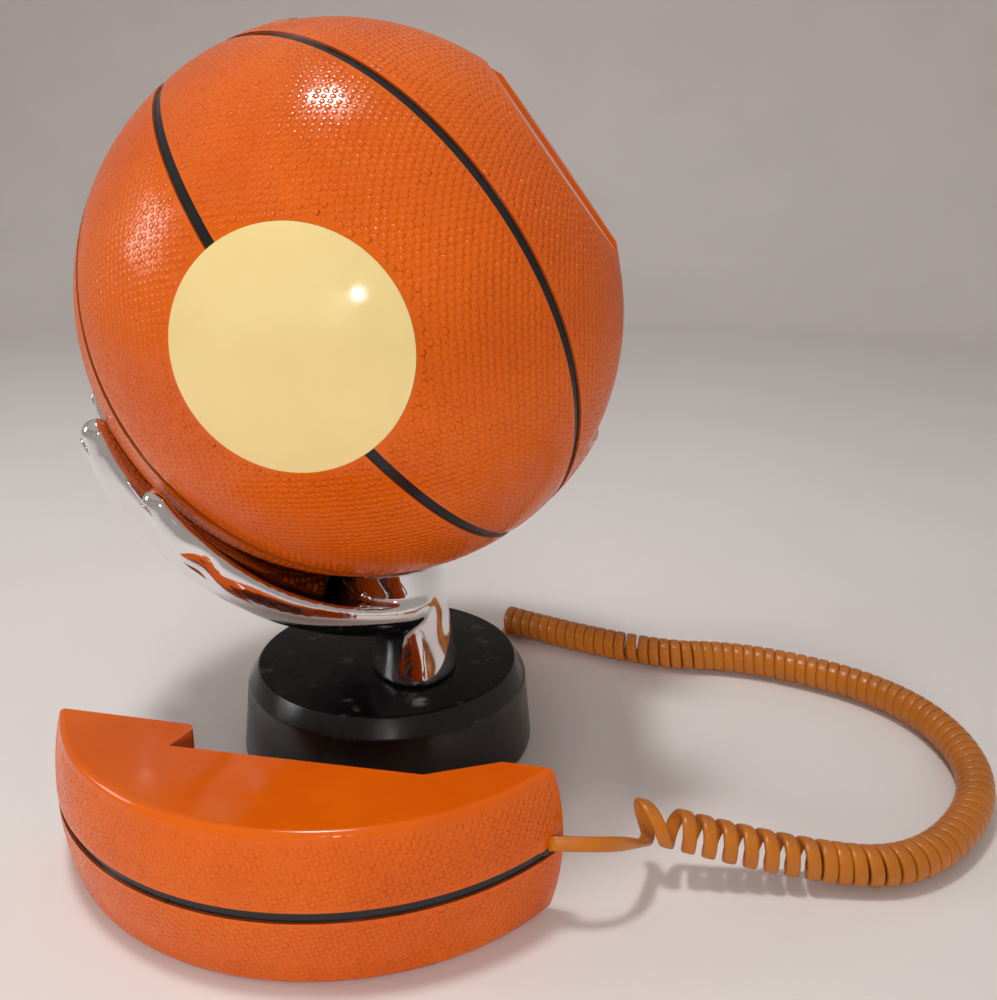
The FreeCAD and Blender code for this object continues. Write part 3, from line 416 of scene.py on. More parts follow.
def makeCord(s):
    coil, spoke = coilLine(s)
    first = np.array(s["handsetTail"]) * mm
    last = np.array(s["baseTail"]) * mm
    line = np.concatenate([first, coil, last])
    facing = np.concatenate([
        unit(np.array(s["handsetTailFacing"])), spoke, unit(np.array(s["baseTailFacing"])),
    ])
    path = splinePoints("cordLine", line, s["lineSteps"])
    lifted = splinePoints("cordLift", line + facing * mm, s["lineSteps"])
    along = unit(np.gradient(path, axis=0))
    thin = lifted - path
    thin = unit(thin - along * np.sum(thin * along, axis=1)[:, None])
    wide = np.cross(along, thin)
    n = s["sectionPoints"]
    a = 2 * math.pi * np.arange(n) / n
    across = np.sign(np.cos(a)) * np.abs(np.cos(a)) ** s["flatness"][0] * s["width"] / 2 * mm
    up = np.sign(np.sin(a)) * np.abs(np.sin(a)) ** s["flatness"][1] * s["thick"] / 2 * mm
    rings = path[:, None] + wide[:, None] * across[None, :, None] + thin[:, None] * up[None, :, None]
    mesh = meshFrom("curlyCord", rings.reshape(-1, 3), tubeFaces(len(path), n))
    outward(mesh)
    shadeSmooth(mesh)
    material, tree, shader, coords = newMaterial("amberCord")
    tone = patches(tree, coords, s["patchScale"])
    colour = mixColour(tree, tone, s["colour"], [c * s["patchShade"] for c in s["colour"]])
    tree.links.new(colour, shader.inputs["Base Color"])
    varyRough(tree, shader, coords, s["roughScale"], *s["roughness"])
    shader.inputs["Subsurface Weight"].default_value = s["glow"]
    shader.inputs["Subsurface Radius"].default_value = s["glowRadius"]
    bump(tree, shader, noise(tree, coords, s["grainScale"]), s["grainHeight"])
    mesh.materials.append(material)
    piece = linkPiece("curlyCord", mesh)
    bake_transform(piece)
    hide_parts("cord_tail_handset", "curly_cord", "cord_tail_base")
    length = float(np.linalg.norm(np.diff(path, axis=0), axis=1).sum())
    print("cord", len(path), "points", round(length, 4), "m")


makeCord(cordSettings)

print("stage: finishes")

plasticSettings = {
    "orange": (0.65, 0.109, 0.002),
    "deepOrange": (0.58, 0.087, 0.0016),
    "seamBlack": (0.012, 0.012, 0.013),
    "seamHalfWidth": 0.0017,
    "seamEdge": 0.0001,
    # how far under the ball's surface the black ends and is full
    "seamDepths": (0.0016, 0.0012),
    "patchScale": 25.0,
    "roughScale": 140.0,
    "roughness": (0.11, 0.22),
    "shine": 0.34,
    "waveScale": 48.0,
    "waveHeight": 0.00045,
}


def orangePlastic(name, seamPlanes, centre, s):
    material, tree, shader, coords = newMaterial(name)
    shader.inputs["Specular IOR Level"].default_value = s["shine"]
    colour = mixColour(tree, patches(tree, coords, s["patchScale"]), s["orange"], s["deepOrange"])
    if seamPlanes:
        local = addNode(
            tree, "ShaderNodeVectorMath", {"operation": "SUBTRACT"}, i0=coords, i1=tuple(centre)
        ).outputs["Vector"]
        nearest = None
        for way in seamPlanes:
            away = doMath(tree, "ABSOLUTE", dotWith(tree, local, way))
            nearest = away if nearest is None else doMath(tree, "MINIMUM", nearest, away)
        reach = addNode(tree, "ShaderNodeVectorMath", {"operation": "LENGTH"}, i0=local).outputs["Value"]
        half, edge = s["seamHalfWidth"], s["seamEdge"]
        onLine = ramp(tree, nearest, half - edge, half + edge, 1.0, 0.0)
        outside = ramp(tree, reach, *[ballPlace["radius"] - depth for depth in s["seamDepths"]])
        colour = mixColour(tree, doMath(tree, "MULTIPLY", onLine, outside), colour, s["seamBlack"])
    tree.links.new(colour, shader.inputs["Base Color"])
    varyRough(tree, shader, coords, s["roughScale"], *s["roughness"])
    # slow waves, as moulded walls have
    bump(tree, shader, noise(tree, coords, s["waveScale"], 1.0), s["waveHeight"])
    return material


seamWays = []
for quarter in range(4):
    turn = math.radians(45 * quarter)
    seamWays.append(ballPlace["badge"] * math.cos(turn) + ballPlace["slot"] * math.sin(turn))
ballOrange = orangePlastic("ballOrange", seamWays, ballPlace["centre"], plasticSettings)
handsetOrange = orangePlastic("handsetOrange", [Vector((0, 0, 1))], handsetPlace["centre"], plasticSettings)
plainOrange = orangePlastic("plainOrange", [], None, plasticSettings)
paint(ballOrange, "ball_front_shell", "ball_rear_shell")
paint(handsetOrange, "handset_outer_shell")
paint(plainOrange, "handset_inner_cover", "handset_cradle")


def simpleFinish(name, colours, roughness, metallic=0.0, grain=40.0, lift=0.0):
    # colour in patches of one grain, with finer grains for the roughness and the relief
    material, tree, shader, coords = newMaterial(name, metallic)
    tree.links.new(mixColour(tree, patches(tree, coords, grain), *colours), shader.inputs["Base Color"])
    varyRough(tree, shader, coords, grain * 6, roughness * 0.8, min(1.0, roughness * 1.35))
    if lift:
        bump(tree, shader, noise(tree, coords, grain * 12), lift)
    return material


paint(simpleFinish("creamBadge", ((0.77, 0.60, 0.265), (0.74, 0.57, 0.24)), 0.12), "badge_disc")
handChrome = simpleFinish("handChrome", ((0.86, 0.86, 0.87), (0.80, 0.80, 0.82)), 0.05, 1.0)

baseSettings = {
    "black": (0.005, 0.005, 0.0053),
    "dust": (0.010, 0.0097, 0.0094),
    "scuff": (0.22, 0.21, 0.20),
    # one rubbed spot on top, in front of the wrist
    "rubbed": (0.0105, -0.0395, 0.0344),
    "rubbedRadii": (0.00135, 0.0045),
    # the side is glossy and the top nearly matt, changing between these depths under the top
    "shine": 0.42,
    "topShine": 0.07,
    "shineDepths": (0.6, 0.1),
    # wear by noise: its scale, detail and roughness, where it starts and where it is full
    "edgeWear": (95.0, 6.0, 0.65, 0.60, 0.70),
    "spotWear": (330.0, 4.0, 0.5, 0.46, 0.58),
    "specks": (700.0, 2.0, 0.5, 0.75, 0.79),
    "dusty": (18.0, 5.0, 0.5, 0.45, 0.8),
    "edgeReach": (0.0002, 0.0009),
    "edgeShare": 0.25,
    "speckShare": 0.1,
    "roughScale": 60.0,
    "roughness": (0.2, 0.36),
    "grainScale": 500.0,
    "grainHeight": 0.00002,
    "radius": 56.4,
    "shoulderRadius": 53.8,
    "shoulderHeight": 27.4,
    "topRadius": 49.5,
    "height": 34.4,
    "lift": 1.0,
    "wall": 3.0,
    "topWall": 4.0,
    "rounding": 0.9,
    "roundSteps": 5,
    "sides": 160,
    # openings: angle and height of the middle, width and height, or radius
    "jack": (90, 14, 13.0, 12.0),
    "switch": (140, 14, 9.6, 4.6),
    "gland": (58, 13, 4.5),
    "bolt": (13.0, -5.0, 3.0),
    "cutFrom": 40.0,
    "cutTo": 80.0,
}


def wornBlack(s):
    # glossy black with dust on top and worn edges at the shoulder and the rim
    material, tree, shader, coords = newMaterial("baseBlack")

    def wear(key):
        scale, detail, rough, low, high = s[key]
        return ramp(tree, noise(tree, coords, scale, detail, rough), low, high)

    height = dotWith(tree, coords, (0, 0, 1))
    low, high = [(s["height"] - depth) * mm for depth in s["shineDepths"]]
    shine = ramp(tree, height, low, high, s["shine"], s["topShine"])
    tree.links.new(shine, shader.inputs["Specular IOR Level"])
    worn = None
    for level in (s["shoulderHeight"], s["height"]):
        away = doMath(tree, "ABSOLUTE", doMath(tree, "SUBTRACT", height, level * mm))
        near = ramp(tree, away, *s["edgeReach"], 1.0, 0.0)
        worn = near if worn is None else doMath(tree, "MAXIMUM", worn, near)
    worn = doMath(tree, "MULTIPLY", worn, wear("edgeWear"))
    toSpot = addNode(tree, "ShaderNodeVectorMath", {"operation": "DISTANCE"}, i0=coords, i1=s["rubbed"])
    spot = ramp(tree, toSpot.outputs["Value"], *s["rubbedRadii"], 1.0, 0.0)
    spot = doMath(tree, "MULTIPLY", spot, wear("spotWear"))
    colour = mixColour(tree, wear("dusty"), s["black"], s["dust"])
    marked = doMath(tree, "MAXIMUM", doMath(tree, "MULTIPLY", worn, s["edgeShare"]), spot)
    specks = doMath(tree, "MULTIPLY", wear("specks"), s["speckShare"])
    marked = doMath(tree, "MAXIMUM", marked, specks)
    tree.links.new(mixColour(tree, marked, colour, s["scuff"]), shader.inputs["Base Color"])
    varyRough(tree, shader, coords, s["roughScale"], *s["roughness"], detail=5.0)
    bump(tree, shader, noise(tree, coords, s["grainScale"]), s["grainHeight"])
    return material


baseBlack = wornBlack(baseSettings)
paint(baseBlack, "base_bottom_plate")
keyBlack = simpleFinish("keyBlack", ((0.020, 0.020, 0.021), (0.028, 0.028, 0.030)), 0.32, 0.0, 60.0, 0.00002)
paint(keyBlack, "hook_plunger", "ringer_switch_knob", "tone_switch_knob")
paint(keyBlack, *[name for name in nodes if name.startswith("key_")])
worksBlack = simpleFinish("worksBlack", ((0.045, 0.045, 0.047), (0.06, 0.06, 0.062)), 0.5, 0.0, 50.0, 0.00003)
paint(
    worksBlack, "receiver", "microphone", "ringer", "hook_switch", "ringer_switch_body", "tone_switch_body",
    "line_jack",
)
rubberColours = ((0.018, 0.018, 0.019), (0.028, 0.028, 0.028))
rubberBlack = simpleFinish("rubberBlack", rubberColours, 0.75, 0.0, 70.0, 0.00006)
paint(rubberBlack, "rubber_foot", "base_cord_gland")
boardGreen = simpleFinish("boardGreen", ((0.03, 0.17, 0.07), (0.02, 0.13, 0.05)), 0.4)
paint(boardGreen, "ball_circuit_board", "handset_circuit_board")
paint(simpleFinish("matGrey", ((0.34, 0.34, 0.35), (0.28, 0.28, 0.29)), 0.7), "keypad_mat")
weightIron = simpleFinish("weightIron", ((0.12, 0.115, 0.11), (0.08, 0.075, 0.07)), 0.6, 0.9, 60.0, 0.0001)
paint(weightIron, "base_weight")
screwSteel = simpleFinish("screwSteel", ((0.62, 0.62, 0.63), (0.50, 0.50, 0.52)), 0.28, 1.0, 120.0)
paint(screwSteel, "ball_board_screws", "handset_board_screws", "wrist_bolt", "wrist_washer")

print("stage: pebbles")

pebbleSettings = {
    # the pitch of close rows, and each pebble's share of the pitch squared
    "pitch": 0.0024,
    "packing": 0.866,
    "jitter": 0.06,
    # each pebble's foot is sunk, so that no gap shows under its edge
    "sink": 0.00007,
    # how far out the search for the shell starts, and how far under the ball it ends
    "probe": 0.001,
    "deepest": 0.0001,
    "radius": 0.0015,
    "height": 0.000175,
    "topShare": 0.36,
    "sides": 6,
    "vary": (0.88, 1.04),
    "seed": 11,
    "edgeRoom": 0.0011,
    "badgeRadius": 0.0348,
    "slotHalf": 0.0274,
    "slotFloor": 0.0405,
    "flat": 0.0845,
    "handsetRim": 0.0022,
    "chord": 0.045,
    "chordRoom": 0.001,
}
screwSettings = {
    "recessLong": 0.62,
    "recessWide": 0.16,
    "recessDeep": 0.55,
    # the head's outline, as shares of its radius and height, and the tip's share of the thread
    "dome": ((0, 0), (0.45, 0.04), (0.8, 0.16), (0.95, 0.32), (1, 0.5), (1, 1)),
    "tip": 0.35,
    "sides": 40,
    "ballCircle": 78.0,
    "ballAngles": (100, 150, 210, 260),
    "ballHeadTop": 10.4,
    "ballHole": 3.6,
    "baseCircle": 45.53,
    "baseAngles": (20, 110, 200, 290),
    "baseHeadTop": 1.5,
    "handsetAcross": 18.0,
    "handsetAlong": 35.95,
    # the heads' undersides, and the radius and mouth of the wells that they sit in
    "palmHeads": [(-38.0, 4.0, 64.05), (-38.0, 26.0, 66.80)],
    "palmWell": 3.75,
    "palmWellMouth": 36.0,
    # head radius, head height, thread radius and thread length
    "ball": (3.0, 2.4, 1.5, 20.0),
    "base": (3.0, 1.8, 1.5, 10.2),
    "handset": (2.5, 1.6, 1.3, 12.0),
    "palm": (3.4, 2.5, 1.75, 18.0),
}


def startTree(name, sockets):
    # a node tree that places one shape at every point of a mesh, turned to the point's own facing
    tree = bpy.data.node_groups.new(name, "GeometryNodeTree")
    face = tree.interface
    face.new_socket("Geometry", in_out="INPUT", socket_type="NodeSocketGeometry")
    for item, kind in sockets.items():
        face.new_socket(item, in_out="INPUT", socket_type="NodeSocket" + kind)
    face.new_socket("Finish", in_out="INPUT", socket_type="NodeSocketMaterial")
    face.new_socket("Geometry", in_out="OUTPUT", socket_type="NodeSocketGeometry")
    return tree, tree.nodes.new("NodeGroupInput")


def endTree(tree, start, shape, scale):
    facing = addNode(tree, "GeometryNodeInputNamedAttribute", {"data_type": "FLOAT_VECTOR"}, Name="facing")
    turn = addNode(tree, "FunctionNodeAlignRotationToVector", {"axis": "Z"}, Vector=facing.outputs[0])
    place = addNode(
        tree, "GeometryNodeInstanceOnPoints", None, Points=start.outputs["Geometry"], Instance=shape,
        Rotation=turn.outputs[0],
    )
    if scale is not None:
        tree.links.new(scale, place.inputs["Scale"])
    real = addNode(tree, "GeometryNodeRealizeInstances", None, Geometry=place.outputs[0])
    finish = addNode(
        tree, "GeometryNodeSetMaterial", None, Geometry=real.outputs[0], Material=start.outputs["Finish"]
    )
    end = tree.nodes.new("NodeGroupOutput")
    tree.links.new(finish.outputs[0], end.inputs["Geometry"])


def pebbleTree(s):
    tree, start = startTree("pebbledSkin", {"Radius": "Float", "TopRadius": "Float", "Height": "Float"})
    dome = addNode(
        tree, "GeometryNodeMeshCone", {"fill_type": "NGON"}, Vertices=s["sides"],
        Depth=start.outputs["Height"],
    )
    tree.links.new(start.outputs["TopRadius"], dome.inputs["Radius Top"])
    tree.links.new(start.outputs["Radius"], dome.inputs["Radius Bottom"])
    # round over the top and the sides, with the hidden underside kept apart so that it doesn't tilt the light
    smooth = addNode(tree, "GeometryNodeSetShadeSmooth", None, Geometry=dome.outputs["Mesh"])
    smooth.inputs["Shade Smooth"].default_value = True
    flat = addNode(
        tree, "GeometryNodeSetShadeSmooth", None, Geometry=smooth.outputs[0], Selection=dome.outputs["Bottom"]
    )
    flat.inputs["Shade Smooth"].default_value = False
    low, high = s["vary"]
    vary = addNode(tree, "FunctionNodeRandomValue", {"data_type": "FLOAT"}, Seed=s["seed"], i2=low, i3=high)
    endTree(tree, start, flat.outputs[0], vary.outputs[1])
    return tree


pebbledSkin = pebbleTree(pebbleSettings)


def pointMesh(name, places, facing):
    mesh = bpy.data.meshes.new(name)
    mesh.from_pydata([tuple(p) for p in places], [], [])
    data = mesh.attributes.new("facing", "FLOAT_VECTOR", "POINT")
    data.data.foreach_set("vector", np.asarray(facing, np.float32).ravel())
    return mesh


def runTree(name, carrier, tree, values):
    # one plain mesh from a tree's result, with the carrier taken away again
    source = linkPiece(name + "Carrier", carrier)
    work = source.modifiers.new("tree", "NODES")
    work.node_group = tree
    for item in tree.interface.items_tree:
        if item.in_out == "INPUT" and item.name in values:
            work[item.identifier] = values[item.name]
    made = evaluated(source)
    discard(source)
    made.name = name
    return made


def goldenBall(radius, pole, side, s):
    # points in even rows over a whole ball, by the golden angle about a pole, each moved a little
    pole, side = np.array(pole), np.array(side)
    third = np.cross(pole, side)
    count = int(4 * math.pi * radius**2 / (s["packing"] * s["pitch"] ** 2))
    i = np.arange(count)[:, None]
    height = 1 - (2 * i + 1) / count
    ring = np.sqrt(1 - height**2)
    turn = i * math.pi * (3 - math.sqrt(5))
    ways = height * pole + ring * np.cos(turn) * side + ring * np.sin(turn) * third
    moved = np.random.default_rng(s["seed"]).normal(0, s["jitter"] * s["pitch"], (count, 3))
    return unit(ways * radius + moved) * radius


def ballRoom(points, front):
    s = pebbleSettings
    badge = points @ np.array(ballPlace["badge"])
    slot = points @ np.array(ballPlace["slot"])
    room = badge if front else -badge
    for way in seamWays:
        room = np.minimum(room, np.abs(points @ np.array(way)) - plasticSettings["seamHalfWidth"])
    if front:
        across = np.linalg.norm(points - badge[:, None] * np.array(ballPlace["badge"]), axis=1)
        room = np.minimum(room, np.where(badge > 0, across - s["badgeRadius"], 1.0))
    else:
        # the four screws' holes at the back
        pole = points @ np.array(ballPlace["pole"])
        for angle in np.radians(screwSettings["ballAngles"]):
            circle = screwSettings["ballCircle"] * mm
            away = np.hypot(slot - circle * math.cos(angle), pole - circle * math.sin(angle))
            room = np.minimum(room, away - screwSettings["ballHole"] * mm)
    room = np.minimum(room, s["flat"] - slot)
    return np.minimum(room, np.where(slot > s["slotFloor"], np.abs(badge) - s["slotHalf"], 1.0))


def handsetRoom(points):
    s = pebbleSettings
    up = np.abs(points[:, 2])
    out = points @ np.array(handsetPlace["out"])
    room = np.minimum(up - plasticSettings["seamHalfWidth"], handsetPlace["halfThick"] - s["handsetRim"] - up)
    return np.minimum(room, out - s["chord"] - s["chordRoom"])


def seatReach(shell, centre, facing, s):
    # how far from the middle the shell's own facets lie, which are a little under the true ball
    skin = BVHTree.FromPolygons([v.co for v in shell.vertices], [p.vertices for p in shell.polygons])
    radius = ballPlace["radius"]
    reach = np.full(len(facing), radius)
    for i, way in enumerate(facing):
        way = Vector(way)
        hit = skin.ray_cast(centre + way * (radius + s["probe"]), -way, s["probe"] + s["deepest"])[0]
        if hit:
            reach[i] = (hit - centre).length
    return reach


def makePebbles(name, shell, centre, points, room, body, material, s):
    facing = unit(points[room > s["edgeRoom"]])
    reach = seatReach(nodes[shell].data, centre, facing, s) - s["sink"]
    carrier = pointMesh(name, facing * reach[:, None] + np.array(centre), facing)
    made = runTree(name, carrier, pebbledSkin, {
        "Radius": s["radius"], "TopRadius": s["radius"] * s["topShare"], "Height": s["height"],
        "Finish": material,
    })
    # nothing stands out of the solid's own box
    place = np.clip(vertexPlaces(made), np.array(cadBox[0]), np.array(cadBox[1]))
    made.vertices.foreach_set("co", place.ravel())
    made.update()
    piece = linkPiece(name, made)
    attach(piece, body)
    print(name, len(made.polygons), "faces")


ballDots = goldenBall(ballPlace["radius"], ballPlace["slot"], ballPlace["badge"], pebbleSettings)
handsetDots = goldenBall(ballPlace["radius"], (0, 0, 1), handsetPlace["out"], pebbleSettings)
for name, shell, front in (
    ("ballFrontPebbles", "ball_front_shell", True), ("ballRearPebbles", "ball_rear_shell", False),
):
    room = ballRoom(ballDots, front)
    makePebbles(name, shell, ballPlace["centre"], ballDots, room, "stand", ballOrange, pebbleSettings)
makePebbles(
    "handsetPebbles", "handset_outer_shell", handsetPlace["centre"], handsetDots, handsetRoom(handsetDots),
    "handset", handsetOrange, pebbleSettings,
)

handSettings = {
    # lean to the left and to the back from straight under the ball, in degrees, and radius in millimetres
    "fingers": {
        "little": [
            (-6, -13, 13), (8, -20, 11.6), (20, -24, 10.6), (28, -27, 9.3), (34, -29, 7.4), (40, -30, 7.6),
            (46, -30.5, 6.4), (50.5, -31, 5.2),
        ],
        "ring": [
            (-6, -6, 13), (10, -9, 12.5), (25, -12, 11.5), (42, -12.5, 9.4), (57, -14.5, 7.9), (67, -16, 5.6),
        ],
        "middle": [(-6, 1, 13), (10, 1.5, 12.5), (27, 2, 11.2), (46, 3, 9.2), (62, 5, 7.4), (72, 7, 5.4)],
        "index": [(-6, 8, 13), (9, 12, 12.5), (25, 15, 11), (42, 17, 9), (57, 19, 7.6), (67, 20, 5.8)],
        "thumb": [(-8, 8, 13), (-4, 20, 12.5), (2, 32, 10.5), (7, 43, 9), (11, 52, 7.8), (14, 59, 6.6)],
    },
    "sink": 0.2,
    # height over the base, shift to the left, half depth, half breadth
    "wrist": [
        (0, 3, 17, 26), (12.2, 3.5, 15.5, 24.2), (22.6, 5.5, 15.8, 24.4), (34.7, 9, 18.5, 26.5),
        (48, 13, 19.5, 28),
    ],
    "wristFoot": (13.0, -5.0, 34.4),
    "wristSides": 64,
    "stepsPerStation": 8,
    "roundness": 3,
    "voxel": 0.001,
    "fingerPasses": 3,
    "rimPasses": 5,
    # the hollow in front of the palm: its middle from the ball's, and its radius
    "hollowShift": (12.0, -20.5, -9.0),
    "hollowRadius": 91.7,
    "ballGap": 0.25,
    "sliver": 0.00003,
    # a nail's half length, half width and half height on a finger of that radius
    "nail": (4.6, 3.2, 1.0),
    "nailFinger": 6.0,
    "nailSink": 0.9,
    "nailSides": 32,
    "nailRings": 16,
}


def easedRows(rows, steps):
    # a smooth run of values through the stations
    rows = np.array(rows, float)
    ends = np.concatenate([[2 * rows[0] - rows[1]], rows, [2 * rows[-1] - rows[-2]]])
    out = []
    for i in range(len(rows) - 1):
        a, b, c, d = ends[i:i + 4]
        bend = 2 * a - 5 * b + 4 * c - d
        twist = 3 * b - a - 3 * c + d
        for t in np.arange(steps) / steps:
            out.append(0.5 * (2 * b + (c - a) * t + bend * t**2 + twist * t**3))
    return np.array(out + [rows[-1]])


def fingerMiddle(lean, side, radius, sink):
    lean, side = math.radians(lean), math.radians(side)
    way = Vector((-math.sin(lean) * math.cos(side), math.sin(side), -math.cos(lean) * math.cos(side)))
    return ballPlace["centre"] + way * (ballPlace["radius"] + radius * mm * (1 - sink))


def fingerBlank(s):
    work = bmesh.new()
    for stations in s["fingers"].values():
        for lean, side, radius in easedRows(stations, s["stepsPerStation"]):
            spot = Matrix.Translation(fingerMiddle(lean, side, radius, s["sink"]))
            bmesh.ops.create_icosphere(work, subdivisions=s["roundness"], radius=radius * mm, matrix=spot)
    return work


def addWrist(work, s):
    rings = []
    count = s["wristSides"]
    for height, shift, depth, breadth in easedRows(s["wrist"], s["stepsPerStation"]):
        middle = Vector(s["wristFoot"]) + Vector((-shift, 0, height))
        rings.append([
            work.verts.new((middle + Vector((depth * math.cos(a), breadth * math.sin(a), 0))) * mm)
            for a in 2 * math.pi * np.arange(count) / count
        ])
    for low, high in zip(rings, rings[1:]):
        for i in range(count):
            work.faces.new((low[i], low[(i + 1) % count], high[(i + 1) % count], high[i]))
    work.faces.new(rings[0][::-1])
    work.faces.new(rings[-1])


def skinned(work, voxel):
    # one even skin round everything in a work mesh
    mesh = bpy.data.meshes.new("blank")
    work.to_mesh(mesh)
    work.free()
    blank = linkPiece("blank", mesh)
    skin = blank.modifiers.new("skin", "REMESH")
    skin.mode = "VOXEL"
    skin.voxel_size = voxel
    made = evaluated(blank)
    discard(blank)
    return made


def pushOut(place, centre, radius):
    away = place - centre
    reach = np.linalg.norm(away, axis=1, keepdims=True)
    return np.where(reach < radius, centre + away / reach * radius, place)


def evened(place, edges):
    total = np.zeros_like(place)
    count = np.zeros(len(place))
    for a, b in ((0, 1), (1, 0)):
        np.add.at(total, edges[:, a], place[edges[:, b]])
        np.add.at(count, edges[:, a], 1)
    return 0.5 * place + 0.5 * total / count[:, None]


def reshaped(mesh, passes, centre, radius):
    # even a mesh out, then keep it clear of a ball
    place = vertexPlaces(mesh)
    edges = np.empty(len(mesh.edges) * 2, int)
    mesh.edges.foreach_get("vertices", edges)
    for _ in range(passes):
        place = evened(place, edges.reshape(-1, 2))
    place = pushOut(place, np.array(centre), radius)
    place[:, 2] = np.maximum(place[:, 2], handSettings["wristFoot"][2] * mm)
    mesh.vertices.foreach_set("co", place.ravel())
    mesh.update()


def addNails(work, s):
    for stations in s["fingers"].values():
        rows = easedRows(stations, s["stepsPerStation"])
        bed = fingerMiddle(*rows[-3], s["sink"])
        along = (fingerMiddle(*rows[-1], s["sink"]) - fingerMiddle(*rows[-6], s["sink"])).normalized()
        away = (bed - ballPlace["centre"]).normalized()
        side = along.cross(away).normalized()
        away = side.cross(along)
        radius = rows[-3][2]
        middle = bed + away * (radius - s["nailSink"]) * mm
        share = radius / s["nailFinger"]
        turn = Matrix((along, side, away)).transposed().to_4x4()
        size = Matrix.Diagonal((*[c * mm * share for c in s["nail"]], 1.0))
        bmesh.ops.create_uvsphere(
            work, u_segments=s["nailSides"], v_segments=s["nailRings"], radius=1.0,
            matrix=Matrix.Translation(middle) @ turn @ size,
        )


def makeHand(s):
    fingers = skinned(fingerBlank(s), s["voxel"])
    hollow = ballPlace["centre"] + Vector(s["hollowShift"]) * mm
    reshaped(fingers, s["fingerPasses"], hollow, s["hollowRadius"] * mm)
    work = bmesh.new()
    work.from_mesh(fingers)
    bpy.data.meshes.remove(fingers)
    addWrist(work, s)
    made = skinned(work, s["voxel"])
    reshaped(made, s["rimPasses"], ballPlace["centre"], ballPlace["radius"] + s["ballGap"] * mm)
    wells = []
    for x, y, z in screwSettings["palmHeads"]:
        floor = Vector((x, y, z + screwSettings["palm"][1])) * mm
        mouth = Vector((x, y, screwSettings["palmWellMouth"])) * mm
        wells.append(rodMesh("palmWell", mouth, floor, screwSettings["palmWell"] * mm))
    made = cutAway(made, wells)
    work = bmesh.new()
    work.from_mesh(made)
    # no slivers stay where the wells break through
    bmesh.ops.triangulate(work, faces=[f for f in work.faces if len(f.verts) > 4])
    bmesh.ops.dissolve_degenerate(work, dist=s["sliver"], edges=work.edges[:])
    addNails(work, s)
    work.to_mesh(made)
    work.free()
    made.name = "chromeHand"
    outward(made, join=0)
    shadeSmooth(made)
    made.materials.clear()
    made.materials.append(handChrome)
    piece = linkPiece("chromeHand", made)
    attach(piece, "stand")
    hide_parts("hand")
    print("hand", len(made.polygons), "faces")


def lathed(name, rows, sides):
    # a closed shape turned about the upright axis from a closed outline of radius and height
    work = bmesh.new()
    rings = []
    turns = 2 * math.pi * np.arange(sides) / sides
    for r, z in rows:
        if r == 0:
            rings.append([work.verts.new((0, 0, z * mm))] * sides)
        else:
            places = [(r * mm * math.cos(a), r * mm * math.sin(a), z * mm) for a in turns]
            rings.append([work.verts.new(place) for place in places])
    for low, high in zip(rings, rings[1:] + rings[:1]):
        for i in range(sides):
            j = (i + 1) % sides
            corners = list(dict.fromkeys((low[i], low[j], high[j], high[i])))
            if len(corners) > 2:
                work.faces.new(corners)
    bmesh.ops.recalc_face_normals(work, faces=work.faces)
    mesh = bpy.data.meshes.new(name)
    work.to_mesh(mesh)
    work.free()
    return mesh


def rounded(outline, radius, steps):
    # an open outline with its inner corners rounded
    rows = [outline[0]]
    for a, b, c in zip(outline, outline[1:], outline[2:]):
        a, b, c = np.array(a, float), np.array(b, float), np.array(c, float)
        start = b + unit(a - b) * radius
        stop = b + unit(c - b) * radius
        for t in np.linspace(0, 1, steps):
            rows.append(tuple((1 - t) ** 2 * start + 2 * t * (1 - t) * b + t**2 * stop))
    return rows + [outline[-1]]


def blockMesh(name, middle, ways, halves):
    # a block with its middle, three ways square to each other and half sizes
    x, y, z = [way * half for way, half in zip(ways, halves)]
    corners = [(a, b, c) for a in (-1, 1) for b in (-1, 1) for c in (-1, 1)]
    points = [Vector(middle) + x * a + y * b + z * c for a, b, c in corners]
    faces = [(0, 1, 3, 2), (4, 6, 7, 5), (0, 4, 5, 1), (2, 3, 7, 6), (0, 2, 6, 4), (1, 5, 7, 3)]
    mesh = meshFrom(name, points, faces)
    outward(mesh)
    return mesh


def rodMesh(name, start, stop, radius, sides=48):
    start, stop = Vector(start), Vector(stop)
    turn = (stop - start).to_track_quat("Z", "Y").to_matrix().to_4x4()
    work = bmesh.new()
    bmesh.ops.create_cone(
        work, cap_ends=True, segments=sides, radius1=radius, radius2=radius, depth=(stop - start).length,
        matrix=Matrix.Translation((start + stop) / 2) @ turn,
    )
    mesh = bpy.data.meshes.new(name)
    work.to_mesh(mesh)
    work.free()
    return mesh


def cutAway(mesh, cutters):
    # a mesh with other closed meshes taken out of it
    stock = linkPiece("stock", mesh)
    tools = []
    for cutter in cutters:
        tools.append(linkPiece("cutter", cutter))
        step = stock.modifiers.new("cut", "BOOLEAN")
        step.operation = "DIFFERENCE"
        step.solver = "MANIFOLD"
        step.object = tools[-1]
    made = evaluated(stock)
    for piece in tools + [stock]:
        discard(piece)
    return made


def finishPiece(name, mesh, material, body, replaced, crease=0.6):
    mesh.name = name
    shadeSmooth(mesh)
    mesh.set_sharp_from_angle(angle=crease)
    mesh.materials.clear()
    mesh.materials.append(material)
    piece = linkPiece(name, mesh)
    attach(piece, body)
    if replaced:
        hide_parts(replaced)
    print(name, len(mesh.polygons), "faces")


def roundWay(angle):
    return Vector((math.cos(math.radians(angle)), math.sin(math.radians(angle)), 0))


